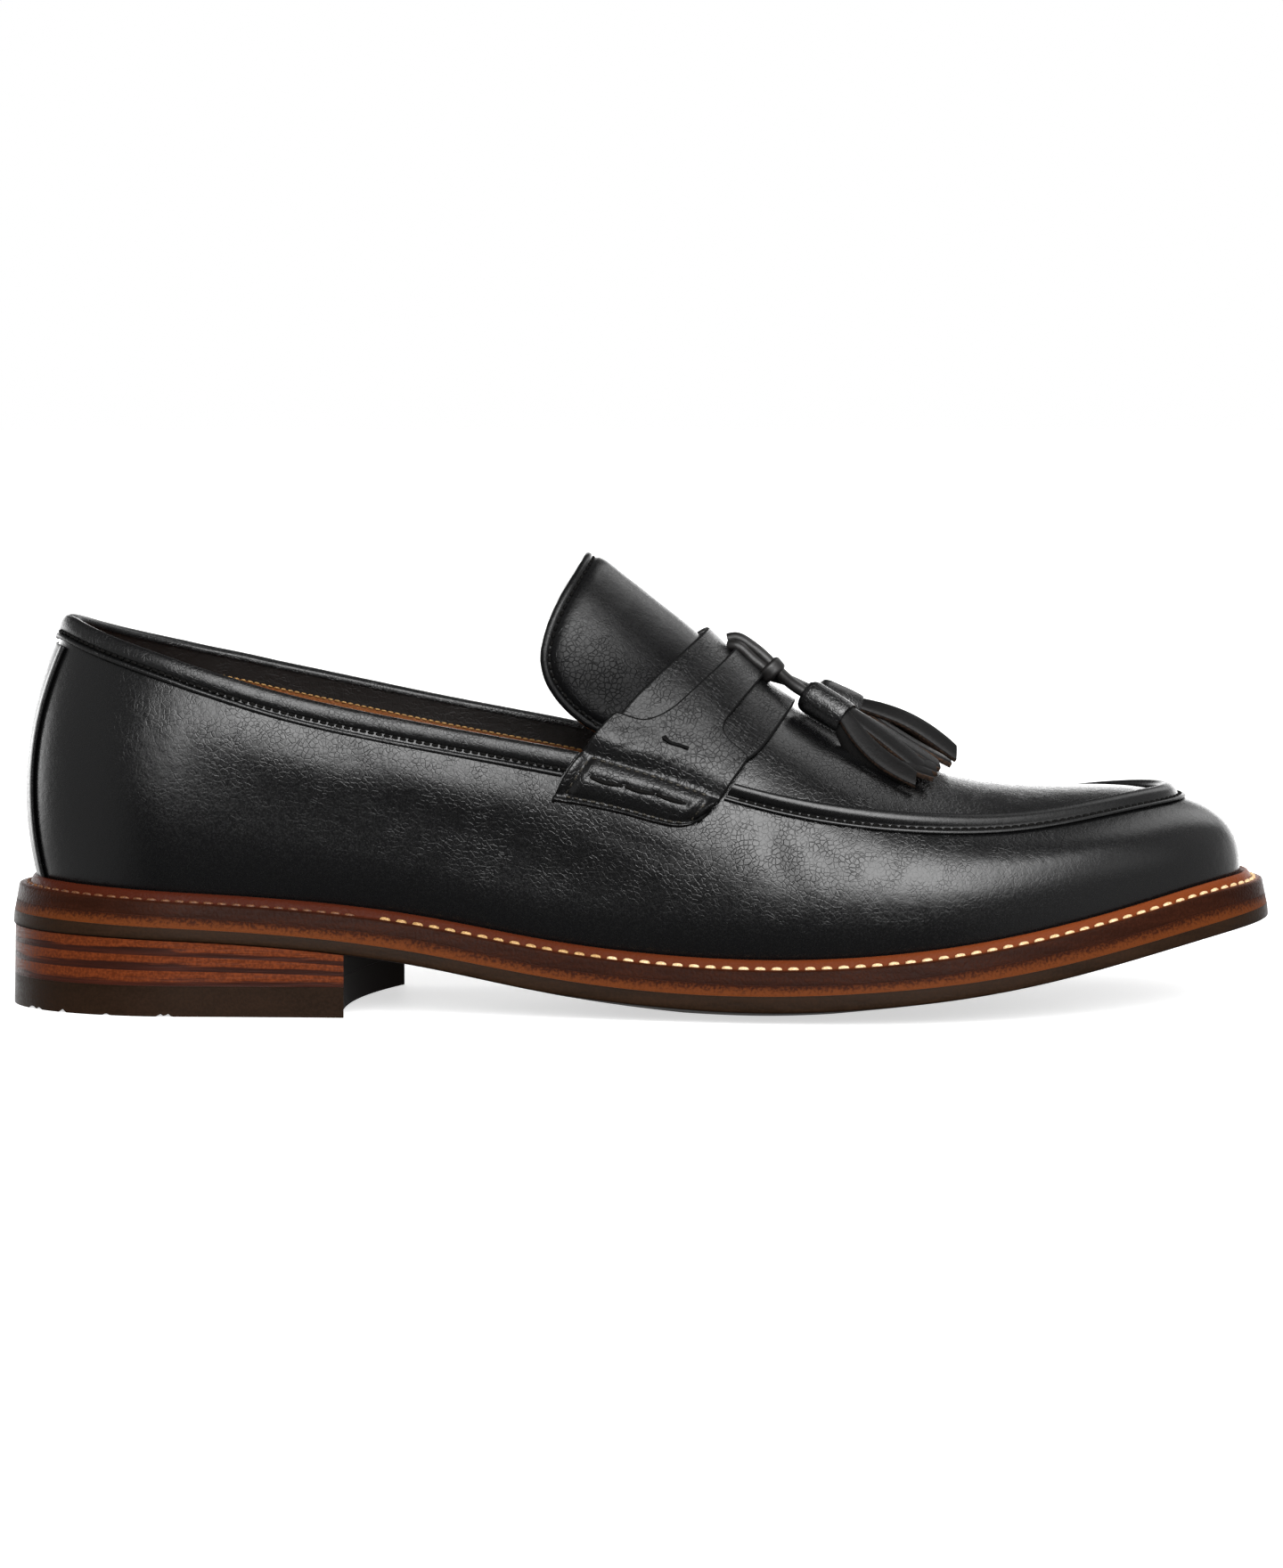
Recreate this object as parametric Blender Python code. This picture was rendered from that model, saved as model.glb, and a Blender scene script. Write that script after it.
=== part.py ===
"""Right-foot slip-on shoe with tassels: sole layers, hollow upper, tongue, straps and tassels.

Sizes are in millimetres and become metres where a mesh is made. +X points to the toe, +Y to the
inner side of the foot and +Z up, with the origin on the floor under the middle of the sole.
"""
import math

import bmesh
import bpy
import numpy as np

for old in list(bpy.data.objects):
    bpy.data.objects.remove(old, do_unlink=True)

MM = 0.001
WELD = 0.002

# Driving sizes
WELT_LENGTH = 304.0
HALF_LENGTH = WELT_LENGTH / 2
WELT_REACH = 6.0
GAP = 0.3
UPPER_WALL = 1.8
OVERLAY_GAP = 0.4

# How far the round ends of the sole reach in from its tips, and how square they are
TOE_ROUND, TOE_POWER = 92.0, 2.2
HEEL_ROUND, HEEL_POWER = 42.0, 2.0
NOSE_LENGTH, NOSE_POWER = 46.0, 2.75
HEEL_LEAN = 7.2
HEEL_LEAN_SPAN = 35.0
HEEL_LEAN_START, HEEL_LEAN_BLEND = -95.0, 50.0

# Counts of facets
SIDE_COLUMNS = 34
WALL_ROWS = 7
APRON_COLUMNS = 10
PLATE_STATIONS = 36


def table(names, *rows):
    """Rows of numbers as arrays that are read by column name."""
    return dict(zip(names.split(), np.array(rows, float).T))


def spline(xs, ys):
    """Natural cubic spline through the rows of a table."""
    count, step, rise = len(xs), np.diff(xs), np.diff(ys)
    matrix, right = np.eye(count), np.zeros(count)
    for i in range(1, count - 1):
        matrix[i, i - 1:i + 2] = step[i - 1], 2 * (step[i - 1] + step[i]), step[i]
        right[i] = 6 * (rise[i] / step[i] - rise[i - 1] / step[i - 1])
    bend = np.linalg.solve(matrix, right)

    def value(x):
        x = np.clip(x, xs[0], xs[-1])
        i = np.clip(np.searchsorted(xs, x) - 1, 0, count - 2)
        after, before, h = xs[i + 1] - x, x - xs[i], step[i]
        cubic = (bend[i] * after ** 3 + bend[i + 1] * before ** 3) / (6 * h)
        return cubic + (ys[i] / h - bend[i] * h / 6) * after + (ys[i + 1] / h - bend[i + 1] * h / 6) * before

    return value


# Plan of the sole: the curved centre line and the half width before the ends are rounded
PLAN = table(
    "x centre half",
    (-152, 2.4, 34.6), (-110, 2.2, 34.7), (-82, 1.1, 35.0), (-52, -1.4, 35.0),
    (-27, -3.1, 36.8), (-2, -3.9, 40.6), (23, -3.4, 45.6), (48, -1.9, 50.2),
    (66, -0.3, 52.1), (90, 2.3, 52.2), (120, 4.8, 50.6), (152, 6.0, 46.5),
)
centre = spline(PLAN["x"], PLAN["centre"])
plain_half = spline(PLAN["x"], PLAN["half"])

# Side lines of the sole: heights of the layers at its edge, with the arch and the toe spring
SIDE = table(
    "x bottom outsole midsole welt",
    (-152, 19.2, 22.7, 25.4, 29.4), (-110, 17.9, 21.0, 23.7, 27.1), (-78, 15.7, 18.9, 21.6, 25.0),
    (-52, 12.2, 15.5, 18.5, 21.8), (-25, 7.0, 10.7, 13.2, 17.0), (0, 4.0, 7.7, 10.5, 14.0),
    (30, 2.7, 6.8, 9.3, 12.8), (60, 4.5, 8.4, 10.7, 14.4), (90, 8.4, 11.9, 15.1, 18.6),
    (120, 14.7, 17.9, 21.0, 25.1), (140, 18.8, 22.0, 25.2, 29.2), (152, 20.6, 24.0, 26.5, 30.2),
)
bottom_edge = spline(SIDE["x"], SIDE["bottom"])
outsole_top = spline(SIDE["x"], SIDE["outsole"])
midsole_top = spline(SIDE["x"], SIDE["midsole"])
welt_top = spline(SIDE["x"], SIDE["welt"])

# The last, section by section: how far its widest line lies inside the sole's edge, how high that
# line is above the welt, how high the ridge is above the floor and how full the arch over it is
LAST = table(
    "x inset rise ridge power",
    (-152, 3.0, 23.0, 116, 2.0), (-110, 3.2, 20.0, 114, 2.0), (-80, 3.4, 16.5, 113, 2.0),
    (-50, 3.6, 14.0, 113, 2.0), (-30, 3.8, 13.0, 112.5, 2.0), (-14, 4.0, 12.5, 110.6, 1.95),
    (0, 4.0, 12.0, 101.4, 1.9), (14, 4.0, 11.7, 91.3, 1.92), (22, 4.0, 11.5, 83.8, 1.95),
    (30, 4.1, 11.2, 77.0, 2.0), (40, 4.2, 11.0, 70.4, 2.1), (60, 4.4, 10.0, 60.4, 2.3),
    (80, 4.8, 9.0, 54.4, 2.45), (100, 5.2, 8.0, 52.5, 2.5), (125, 5.7, 6.0, 52.8, 2.4),
    (146, 6.0, 3.0, 52.0, 2.2),
)
widest_inset = spline(LAST["x"], LAST["inset"])
widest_rise = spline(LAST["x"], LAST["rise"])
ridge_line = spline(LAST["x"], LAST["ridge"])
arch_power = spline(LAST["x"], LAST["power"])

# The line where walls meet collar and apron, by share of the way from heel to toe: the topline
# first, then the seam round the apron
SEAM = table(
    "share x outer_y outer_z inner_y inner_z",
    (0.0, -139.0, 2.4, 93.6, 2.4, 93.6), (0.1, -131.5, -11.0, 91.4, 16.0, 91.8),
    (0.2, -112.0, -22.3, 84.8, 26.5, 86.6), (0.3, -83.0, -26.6, 75.9, 28.8, 80.5),
    (0.4, -45.0, -30.5, 68.4, 28.5, 74.5), (0.5, 0.0, -37.0, 60.0, 31.0, 64.5),
    (0.6, 43.0, -41.0, 49.6, 37.0, 49.8), (0.7, 80.0, -34.8, 46.0, 37.2, 46.0),
    (0.8, 105.5, -22.5, 47.5, 30.3, 47.3), (0.9, 122.3, -7.0, 48.8, 17.0, 48.6),
    (1.0, 128.0, 5.3, 49.9, 5.3, 49.9),
)
OUTER, INNER = -1, 1
seam_x = spline(SEAM["share"], SEAM["x"])
seam_y = {OUTER: spline(SEAM["share"], SEAM["outer_y"]), INNER: spline(SEAM["share"], SEAM["inner_y"])}
seam_z = {OUTER: spline(SEAM["share"], SEAM["outer_z"]), INNER: spline(SEAM["share"], SEAM["inner_z"])}
CORE = table("x height", (-105, 28), (0, 22), (95, 9))


def points(*axes):
    """Stacks x, y and z arrays into points."""
    return np.stack(np.broadcast_arrays(*axes), -1)


def feather(x):
    """Height where the upper stands on the welt."""
    return welt_top(x) + GAP


def half_width(x, inset):
    """Half width of the sole's outline, moved in by inset and rounded at heel and toe."""
    toe_start, heel_start = HALF_LENGTH - TOE_ROUND, HEEL_ROUND - HALF_LENGTH
    toe = np.clip((x - toe_start) / (TOE_ROUND - inset), 0, 1)
    heel = np.clip((heel_start - x) / (HEEL_ROUND - inset), 0, 1)
    rounding = (1 - toe ** TOE_POWER) ** (1 / TOE_POWER) * (1 - heel ** HEEL_POWER) ** (1 / HEEL_POWER)
    return (plain_half(x) - inset) * rounding


def outline(share, side, inset):
    """Plan point on the outline at a share of the way from heel (0) to toe (1)."""
    x = -np.cos(np.pi * share) * (HALF_LENGTH - inset)
    return x, centre(x) + side * half_width(x, inset)


def last_field(p):
    """Positive inside the last: squared half width of the slice at p, less the squared offset."""
    x, y, z = p[..., 0], p[..., 1], p[..., 2]
    low = feather(x)
    widest = low + widest_rise(x)
    nose = np.clip((x - HALF_LENGTH + WELT_REACH) / NOSE_LENGTH + 1, 0, 1)
    height = np.maximum((ridge_line(x) - widest) * (1 - nose ** NOSE_POWER) ** (1 / NOSE_POWER), WELD)
    below = np.clip((widest - z) / (widest - low), 0, 1.5)
    above = np.clip((z - widest) / height, 0, None)
    back = np.clip((HEEL_LEAN_START - x) / HEEL_LEAN_BLEND, 0, 1)
    lean = HEEL_LEAN * back * back * (3 - 2 * back) * np.clip((z - widest) / HEEL_LEAN_SPAN, 0, 2) ** 2
    inset = widest_inset(x) + (WELT_REACH - widest_inset(x)) * below ** 2 + lean
    return half_width(x, inset) ** 2 * (1 - above ** arch_power(x)) - (y - centre(x)) ** 2


def cast(start, aim):
    """Point of the last's surface on the ray from an inner point through aim, by bisection."""
    near, far = np.zeros(aim.shape[:-1]), np.full(aim.shape[:-1], 3.0)
    for _ in range(44):
        middle = (near + far) / 2
        inside = last_field(start + (aim - start) * middle[..., None]) > 0
        near, far = np.where(inside, middle, near), np.where(inside, far, middle)
    return start + (aim - start) * near[..., None]


def lifted(p, lift):
    """Points moved off the last's surface along its normal."""
    step = 0.05
    slope = [last_field(p + step * axis) - last_field(p - step * axis) for axis in np.eye(3)]
    normal = -np.stack(slope, -1)
    normal /= np.linalg.norm(normal, axis=-1, keepdims=True)
    return p + normal * np.asarray(lift)[..., None]


def core_point(share):
    """Inner point that the ribs of the wall are cast from."""
    x = np.clip(seam_x(share), CORE["x"][0], CORE["x"][-1])
    return points(x, centre(x), feather(x) + np.interp(x, CORE["x"], CORE["height"]))


def seam_point(share, side):
    """Point on the topline or apron seam, on the last's surface."""
    aim = points(seam_x(share), seam_y[side](share), seam_z[side](share))
    return cast(core_point(share), aim)


def wall_point(share, side, up):
    """Point on the wall: up runs from 0 at the welt to 1 at the topline or apron seam."""
    x, y = outline(share, side, WELT_REACH)
    foot = points(x, y, feather(x))
    aim = foot + np.asarray(up)[..., None] * (seam_point(share, side) - foot)
    return cast(core_point(share), aim)


def rib_length(share, side):
    """Straight length of the wall's rib from the welt to the seam."""
    x, y = outline(share, side, WELT_REACH)
    return np.linalg.norm(seam_point(share, side) - points(x, y, feather(x)), axis=-1)


# The instep's slanted frame: along runs down the ridge from the tongue's end, angle turns round a
# line inside the foot from 0 at the outer side over 90 at the ridge
INSTEP_SLOPE = math.radians(34.0)
TONGUE_END_X, TONGUE_END_Z = -13.6, 109.8
INSTEP_DEPTH = 48.0
INSTEP_MIDDLE_Y = -3.6
DOWN_RIDGE = np.array([math.cos(INSTEP_SLOPE), 0, -math.sin(INSTEP_SLOPE)])
OFF_RIDGE = np.array([math.sin(INSTEP_SLOPE), 0, math.cos(INSTEP_SLOPE)])
INSTEP_START = np.array([TONGUE_END_X, INSTEP_MIDDLE_Y, TONGUE_END_Z]) - INSTEP_DEPTH * OFF_RIDGE


def instep_point(along, angle):
    """Point on the last at a place along the ridge and an angle round the instep, in degrees."""
    start = INSTEP_START + np.asarray(along)[..., None] * DOWN_RIDGE
    turn = np.radians(angle)[..., None]
    across = np.array([0, 1, 0]) * -np.cos(turn) + OFF_RIDGE * np.sin(turn)
    return cast(start, start + 40 * across)


def finish(name, colour, roughness):
    """Plain Principled material."""
    material = bpy.data.materials.new(name)
    material.use_nodes = True
    shader = material.node_tree.nodes["Principled BSDF"]
    shader.inputs["Base Color"].default_value = (*colour, 1)
    shader.inputs["Roughness"].default_value = roughness
    return material


def welded(verts, faces):
    """Joins equal points and drops the faces that collapse to a line or a point."""
    verts = np.asarray(verts).reshape(-1, 3)
    _, first, joined = np.unique(np.round(verts / WELD), axis=0, return_index=True, return_inverse=True)
    joined = joined.reshape(-1)
    faces = [list(dict.fromkeys(joined[list(face)].tolist())) for face in faces]
    return (verts[first] * MM).tolist(), [face for face in faces if len(face) > 2]


def add_mesh(name, verts, faces, colour, roughness):
    """Object with a welded mesh whose faces point out."""
    mesh = bpy.data.meshes.new(name)
    verts, faces = welded(verts, faces)
    mesh.from_pydata(verts, [], faces)
    work = bmesh.new()
    work.from_mesh(mesh)
    bmesh.ops.recalc_face_normals(work, faces=work.faces)
    work.to_mesh(mesh)
    work.free()
    mesh.shade_smooth()
    mesh.set_sharp_from_angle(angle=math.radians(40))
    mesh.materials.append(finish(name, colour, roughness))
    node = bpy.data.objects.new(name, mesh)
    bpy.context.collection.objects.link(node)
    return node


def grid_faces(index):
    """Quads between the rows and columns of a grid of vertex numbers."""
    corners = index[:-1, :-1], index[1:, :-1], index[1:, 1:], index[:-1, 1:]
    return np.stack(corners, -1).reshape(-1, 4)


def strip_faces(first, second):
    """Quads between two rows of vertex numbers."""
    return grid_faces(np.stack([first, second]))


def slab(low, high):
    """Closed solid between two sheets that have the same rows and columns."""
    rows, columns = low.shape[:2]
    index = np.arange(rows * columns).reshape(rows, columns)
    rim = np.concatenate([index[0], index[1:, -1], index[-1, -2::-1], index[-2::-1, 0]])
    top = index + rows * columns
    faces = [grid_faces(index), grid_faces(top), strip_faces(rim, rim + rows * columns)]
    return np.concatenate([low.reshape(-1, 3), high.reshape(-1, 3)]), np.concatenate(faces)


def tube(sections):
    """Closed solid through a row of closed sections, with flat ends."""
    rows, columns = sections.shape[:2]
    index = np.arange(rows * columns).reshape(rows, columns)
    faces = grid_faces(np.concatenate([index, index[:, :1]], 1)).tolist()
    return sections.reshape(-1, 3), faces + [index[0].tolist(), index[-1].tolist()]


BLACK_LEATHER = (0.012, 0.012, 0.013)
DARK_EDGE = (0.045, 0.020, 0.013)
BROWN_EDGE = (0.195, 0.070, 0.024)
SOLE_BLACK = (0.022, 0.016, 0.012)
STACK_BROWN = (0.200, 0.060, 0.022)
LIFT_RUBBER = (0.030, 0.022, 0.018)
INSOLE_TAN = (0.110, 0.035, 0.008)

stations = -np.cos(np.pi * np.linspace(0, 1, PLATE_STATIONS + 1))


def plate(insets, low, high, shares):
    """Solid plate between two height functions of x and the share across, each with its own inset."""
    sheets = []
    for inset, height in zip(insets, (low, high)):
        x = (stations * (HALF_LENGTH - inset))[:, None]
        y = centre(x) + shares * half_width(x, inset)
        sheets.append(points(x, y, height(x, shares)))
    return slab(*sheets)


# The sole's trimmed edge flares out towards the floor: insets of a layer's underside and its top,
# and of the rows of the welt's underside from its inner edge out
OUTSOLE_INSETS = -1.0, -0.6
MIDSOLE_INSETS = -0.5, -0.1
WELT_INSETS = 19.0, 12.0, 6.0, 0.1
STACK_INSET, TOP_LIFT_INSET = -0.7, -0.9


# Outsole: its underside is crowned, flat on the floor under the ball, and lifted at its edge
CROWN = table(
    "x depth",
    (-152, 0.0), (-50, 0.0), (-20, 2.8), (10, 4.2), (45, 4.2), (90, 2.0), (152, 0.0),
)
across = np.array([-1, -0.75, -0.35, 0.35, 0.75, 1])


def tread(x, share):
    """Underside of the outsole, never below the floor."""
    crown = np.interp(x, CROWN["x"], CROWN["depth"])
    return np.maximum(bottom_edge(x) - crown * (1 - share ** 2), 0)


add_mesh("outsole", *plate(OUTSOLE_INSETS, tread, lambda x, s: outsole_top(x) + 0 * s, across), SOLE_BLACK, 0.6)

# Midsole: an even plate on the outsole
ends = np.array([-1.0, 0.0, 1.0])
add_mesh(
    "midsole",
    *plate(
        MIDSOLE_INSETS,
        lambda x, s: outsole_top(x) + GAP + 0 * s,
        lambda x, s: midsole_top(x) + 0 * s,
        ends,
    ),
    BROWN_EDGE, 0.55,
)

# Welt: a ring round the shoe with a stitch shelf and a raised bead against the upper
WELT = table(
    "inset rise",
    (0.5, -0.6), (1.0, 0.0), (2.7, -0.2), (3.4, 1.2), (4.1, 2.1), (4.7, 2.0), (5.5, 0.0), (19.0, 0.0),
)


def welt_section(shares, side):
    """Closed sections of the welt: its shaped top, then its flat underside."""
    top = []
    for inset, rise in zip(WELT["inset"], WELT["rise"]):
        x, y = outline(shares, side, inset)
        top.append(points(x, y, welt_top(x) + rise))
    under = []
    for inset in WELT_INSETS:
        x, y = outline(shares, side, inset)
        under.append(points(x, y, midsole_top(x) + GAP))
    return np.stack(top + under, 1)


side_shares = np.linspace(0, 1, SIDE_COLUMNS + 1)
welt_ring = np.concatenate([welt_section(side_shares[:-1], OUTER), welt_section(side_shares[:0:-1], INNER)])
welt_index = np.arange(welt_ring.shape[0] * welt_ring.shape[1]).reshape(welt_ring.shape[:2])
welt_index = np.pad(welt_index, ((0, 1), (0, 1)), mode="wrap")
add_mesh("welt", welt_ring, grid_faces(welt_index), DARK_EDGE, 0.5)

# Heel: three wedge-shaped leather lifts and a rubber top lift, cut off at a hollow slanted breast
BREAST_X, BREAST_SLANT, BREAST_HOLLOW = -65.0, 5.8, 5.0
TOP_LIFT_HEIGHT = 7.3
LEATHER_LIFTS = 3
heel_along = 1 - np.cos(np.pi / 2 * np.linspace(0, 1, 12))
heel_across = np.sin(np.pi / 2 * np.linspace(-1, 1, 7))
breast = BREAST_X + BREAST_SLANT * heel_across - BREAST_HOLLOW * (1 - heel_across ** 2)


def heel_sheet(inset, height):
    """Heel-shaped sheet with its edge moved in by inset, at a height worked out from x."""
    tip = inset - HALF_LENGTH
    x = tip + (breast - tip) * heel_along[:, None]
    return points(x, centre(x) + heel_across * half_width(x, inset), height(x))


def stack_height(x, share):
    """Height inside the leather stack, at a share of the way up from the top lift."""
    low, high = TOP_LIFT_HEIGHT + GAP, bottom_edge(x) - GAP
    return low + (high - low) * share


for number in range(LEATHER_LIFTS):
    base, crest = number / LEATHER_LIFTS, (number + 1) / LEATHER_LIFTS
    seat = GAP if number else 0.0
    underside = heel_sheet(STACK_INSET, lambda x: stack_height(x, base) + seat)
    top = heel_sheet(STACK_INSET, lambda x: stack_height(x, crest))
    add_mesh(f"heel_lift_{number + 1}", *slab(underside, top), STACK_BROWN, 0.45)
lift_tread = heel_sheet(TOP_LIFT_INSET, lambda x: 0 * x)
lift_top = heel_sheet(STACK_INSET, lambda x: TOP_LIFT_HEIGHT + 0 * x)
add_mesh("top_lift", *slab(lift_tread, lift_top), LIFT_RUBBER, 0.7)

# Insole: the board that closes the upper from below, resting on the welt's inner shelf
INSOLE_INSET = WELT_REACH + UPPER_WALL + 0.6
INSOLE_THICKNESS = 2.6
add_mesh(
    "insole",
    *plate(
        (INSOLE_INSET, INSOLE_INSET),
        lambda x, s: feather(x) + 0 * s,
        lambda x, s: feather(x) + INSOLE_THICKNESS + 0 * s,
        ends,
    ),
    INSOLE_TAN, 0.6,
)

# Upper: one hollow shell, walls all round and the apron between the seams, open at the collar
THROAT_COLUMN = 18
LEAN_FADE = 0.17
throat_share = side_shares[THROAT_COLUMN]


def apron_row(share):
    """Row of points across the apron, from the outer seam to the inner seam."""
    lean = INSTEP_SLOPE * np.clip(1 - (share - throat_share) / LEAN_FADE, 0, 1)
    rise = np.array([math.sin(lean), 0, math.cos(lean)])
    first, last = seam_point(share, OUTER), seam_point(share, INNER)
    m = np.linspace(0, 1, APRON_COLUMNS + 1)[:, None]
    arch = 0.4 * np.linalg.norm(last - first) * 4 * m * (1 - m)
    row = cast((first + last) / 2 - 20 * rise, first + m * (last - first) + arch * rise)
    row[0], row[-1] = first, last
    return row


ups = np.linspace(0, 1, WALL_ROWS + 1)
wall = np.concatenate([
    np.stack([wall_point(side_shares[:-1], OUTER, up) for up in ups], 1),
    np.stack([wall_point(side_shares[:0:-1], INNER, up) for up in ups], 1),
])
apron = np.stack([apron_row(share) for share in side_shares[THROAT_COLUMN:]])


def upper_solid():
    """Closed shell between the last's surface and a second one a wall's thickness inside it."""
    sheets = wall, apron, lifted(wall, -UPPER_WALL), lifted(apron, -UPPER_WALL)
    verts = np.concatenate([sheet.reshape(-1, 3) for sheet in sheets])
    starts = np.cumsum([0] + [sheet.shape[0] * sheet.shape[1] for sheet in sheets])
    index = [np.arange(s.shape[0] * s.shape[1]).reshape(s.shape[:2]) + a for s, a in zip(sheets, starts)]
    walls = [np.concatenate([index[k], index[k][:1]]) for k in (0, 2)]
    faces = [grid_faces(walls[0]), grid_faces(walls[1]), grid_faces(index[1]), grid_faces(index[3])]
    faces.append(strip_faces(walls[0][:, 0], walls[1][:, 0]))
    outer, inner = slice(0, THROAT_COLUMN + 1), slice(-THROAT_COLUMN - 1, None)
    for part in (outer, inner):
        faces.append(strip_faces(walls[0][part, -1], walls[1][part, -1]))
    faces.append(strip_faces(index[1][0], index[3][0]))
    return verts, np.concatenate(faces)


add_mesh("upper", *upper_solid(), BLACK_LEATHER, 0.4)

# Tongue: a broad flap with a round end, flush with the upper and tucked under its throat
TONGUE = table(
    "angle end",
    (26.4, 22.6), (27.6, 17.9), (30.9, 12.4), (35.5, 8.2), (42.9, 4.5),
    (48.3, 3.0), (57.3, 1.3), (66.0, 0.5), (74.3, 0.3), (90.0, 0.2),
)
TONGUE_EDGE = table("along angle", (23, 26.4), (34, 27.0), (42, 32.0), (56, 42.0))
TONGUE_FRONT = 56.0
TONGUE_THICKNESS = 2.2
TONGUE_TUCK = table(
    "along lift", (0, -0.3), (16, -0.4), (24, -1.0), (32, -1.3), (41, -1.4), (48, -3.0), (60, -3.0),
)
tongue_turn = np.cos(np.pi * np.linspace(0, 1, 17))
tongue_angle = 90 - (90 - TONGUE["angle"][0]) * tongue_turn
tongue_end = np.interp(90 - np.abs(90 - tongue_angle), TONGUE["angle"], TONGUE["end"])
tongue_rows = np.array([0, 0.1, 0.25, 0.4, 0.55, 0.7, 0.8, 0.9, 1])[:, None]
tongue_along = tongue_end + (TONGUE_FRONT - tongue_end) * tongue_rows
tongue_edge = np.interp(tongue_along[:, :1], TONGUE_EDGE["along"], TONGUE_EDGE["angle"])
tongue_sheet = instep_point(tongue_along, 90 - (90 - tongue_edge) * tongue_turn)
tongue_lift = np.interp(tongue_along, TONGUE_TUCK["along"], TONGUE_TUCK["lift"])
add_mesh(
    "tongue",
    *slab(lifted(tongue_sheet, tongue_lift - TONGUE_THICKNESS), lifted(tongue_sheet, tongue_lift)),
    BLACK_LEATHER, 0.4,
)

# Collar binding, backstay and apron rim: strips on the wall, each row a distance above the seam
BINDING_END = {OUTER: 0.4675, INNER: 0.4710}
BINDING_SLANT = 0.0013
BINDING = table("above lift", (-7.0, 0.9), (-5.5, 1.2), (-1.0, 1.2), (0.0, 0.8))
RIM_START = 0.5505
RIM = table("above lift", (-2.8, 0.9), (-1.3, 1.5), (0.6, 2.2), (1.5, 2.1), (2.1, 1.0))
BACKSTAY_SHARE = 2 / SIDE_COLUMNS
BACKSTAY_LOW, BACKSTAY_HIGH = 0.05, 0.86
BACKSTAY = {"lift": np.full(9, 1.1)}


def wall_strip(shares, side, ups, lifts):
    """Row of points along the wall for each height, lifted off it."""
    rows = [lifted(wall_point(shares[k], side, up), np.full(shares[k].shape, lift))
            for k, (up, lift) in enumerate(zip(ups, lifts))]
    return np.stack(rows, 1)


def binding_side(side, lifts):
    """One side of the collar binding, from the heel to the strap's tab."""
    reach = np.linspace(0, 1, 20)
    shares = [reach * (BINDING_END[side] + BINDING_SLANT * above) for above in BINDING["above"]]
    ups = [1 + above / rib_length(share, side) for above, share in zip(BINDING["above"], shares)]
    return wall_strip(shares, side, ups, lifts)


def rim_side(side, lifts):
    """One side of the apron rim, from the strap's tab to the toe."""
    reach = np.linspace(0, 1, 18)
    starts = RIM_START + BINDING_SLANT * RIM["above"]
    shares = [start + reach * (1 - start) for start in starts]
    ups = [1 + above / rib_length(share, side) for above, share in zip(RIM["above"], shares)]
    return wall_strip(shares, side, ups, lifts)


def backstay_side(side, lifts):
    """One half of the backstay."""
    rows = len(BACKSTAY["lift"])
    shares = [np.linspace(0, BACKSTAY_SHARE, 5)] * rows
    return wall_strip(shares, side, np.linspace(BACKSTAY_LOW, BACKSTAY_HIGH, rows), lifts)


def joined_at_heel(make, lifts):
    """Outer and inner halves of a strip that meet at the back."""
    return np.concatenate([make(OUTER, lifts)[::-1], make(INNER, lifts)[1:]])


def joined_at_toe(make, lifts):
    """Outer and inner halves of a strip that meet in front."""
    return np.concatenate([make(OUTER, lifts), make(INNER, lifts)[-2::-1]])


def level(profile):
    """The even underside of a strip, just off the wall."""
    return np.full(len(profile["lift"]), OVERLAY_GAP)


for name, joined, make, profile in (
    ("collar_binding", joined_at_heel, binding_side, BINDING),
    ("backstay", joined_at_heel, backstay_side, BACKSTAY),
    ("apron_rim", joined_at_toe, rim_side, RIM),
):
    add_mesh(name, *slab(joined(make, level(profile)), joined(make, profile["lift"])), BLACK_LEATHER, 0.35)

# Straps over the instep: place counts up from the tab's lower edge (0) over its fold (1) and its
# upper edge (2) to the ridge (3); both sides are alike
TAB_BOTTOM = table(
    "along angle",
    (26.5, -7.5), (34, -1.2), (42, 4.2), (50, 8.5), (54, 11.2), (57, 15.5), (58.3, 21.0),
)
TAB_FOLD = table("along angle", (27, 16.0), (36, 19.7), (44, 22.7), (57, 26.0))
TAB_TOP = table("along angle", (27, 35.2), (33, 35.9), (40, 39.5), (48, 42.5), (54, 43.0), (59, 42.2))
OVER_STRAP = table(
    "place rear front low high",
    (0.0, 26.5, 57.4, 0.4, 1.6), (0.25, 26.2, 58.2, 0.4, 2.9), (0.5, 26.0, 58.3, 0.4, 3.3),
    (0.75, 26.0, 58.4, 0.4, 2.8), (1.0, 26.0, 58.5, 0.4, 1.9), (1.4, 26.3, 58.7, 0.4, 2.4),
    (1.62, 26.6, 58.8, 1.9, 2.9), (2.0, 27.7, 58.9, 1.9, 3.0), (2.015, 33.0, 54.0, 1.9, 3.0),
    (2.04, 35.3, 51.9, 1.9, 3.0), (2.08, 37.0, 50.2, 1.9, 3.0), (2.15, 38.5, 49.5, 1.9, 3.0),
    (2.3, 40.0, 49.9, 1.9, 3.0), (2.5, 41.5, 50.6, 1.9, 3.0), (2.75, 42.6, 51.4, 1.9, 3.0),
    (3.0, 43.2, 52.0, 1.9, 3.0),
)
UNDER_STRAP = table(
    "place rear front low high",
    (1.75, 28.6, 58.2, 0.5, 1.5), (2.0, 28.7, 58.9, 0.5, 1.5), (2.1, 29.0, 60.0, 0.5, 1.5),
    (2.3, 30.6, 60.8, 0.5, 1.5), (2.5, 32.6, 61.2, 0.5, 1.5), (2.75, 34.4, 61.7, 0.5, 1.5),
    (3.0, 35.2, 62.0, 0.5, 1.5),
)
STRAP_COLUMNS = 7


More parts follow.
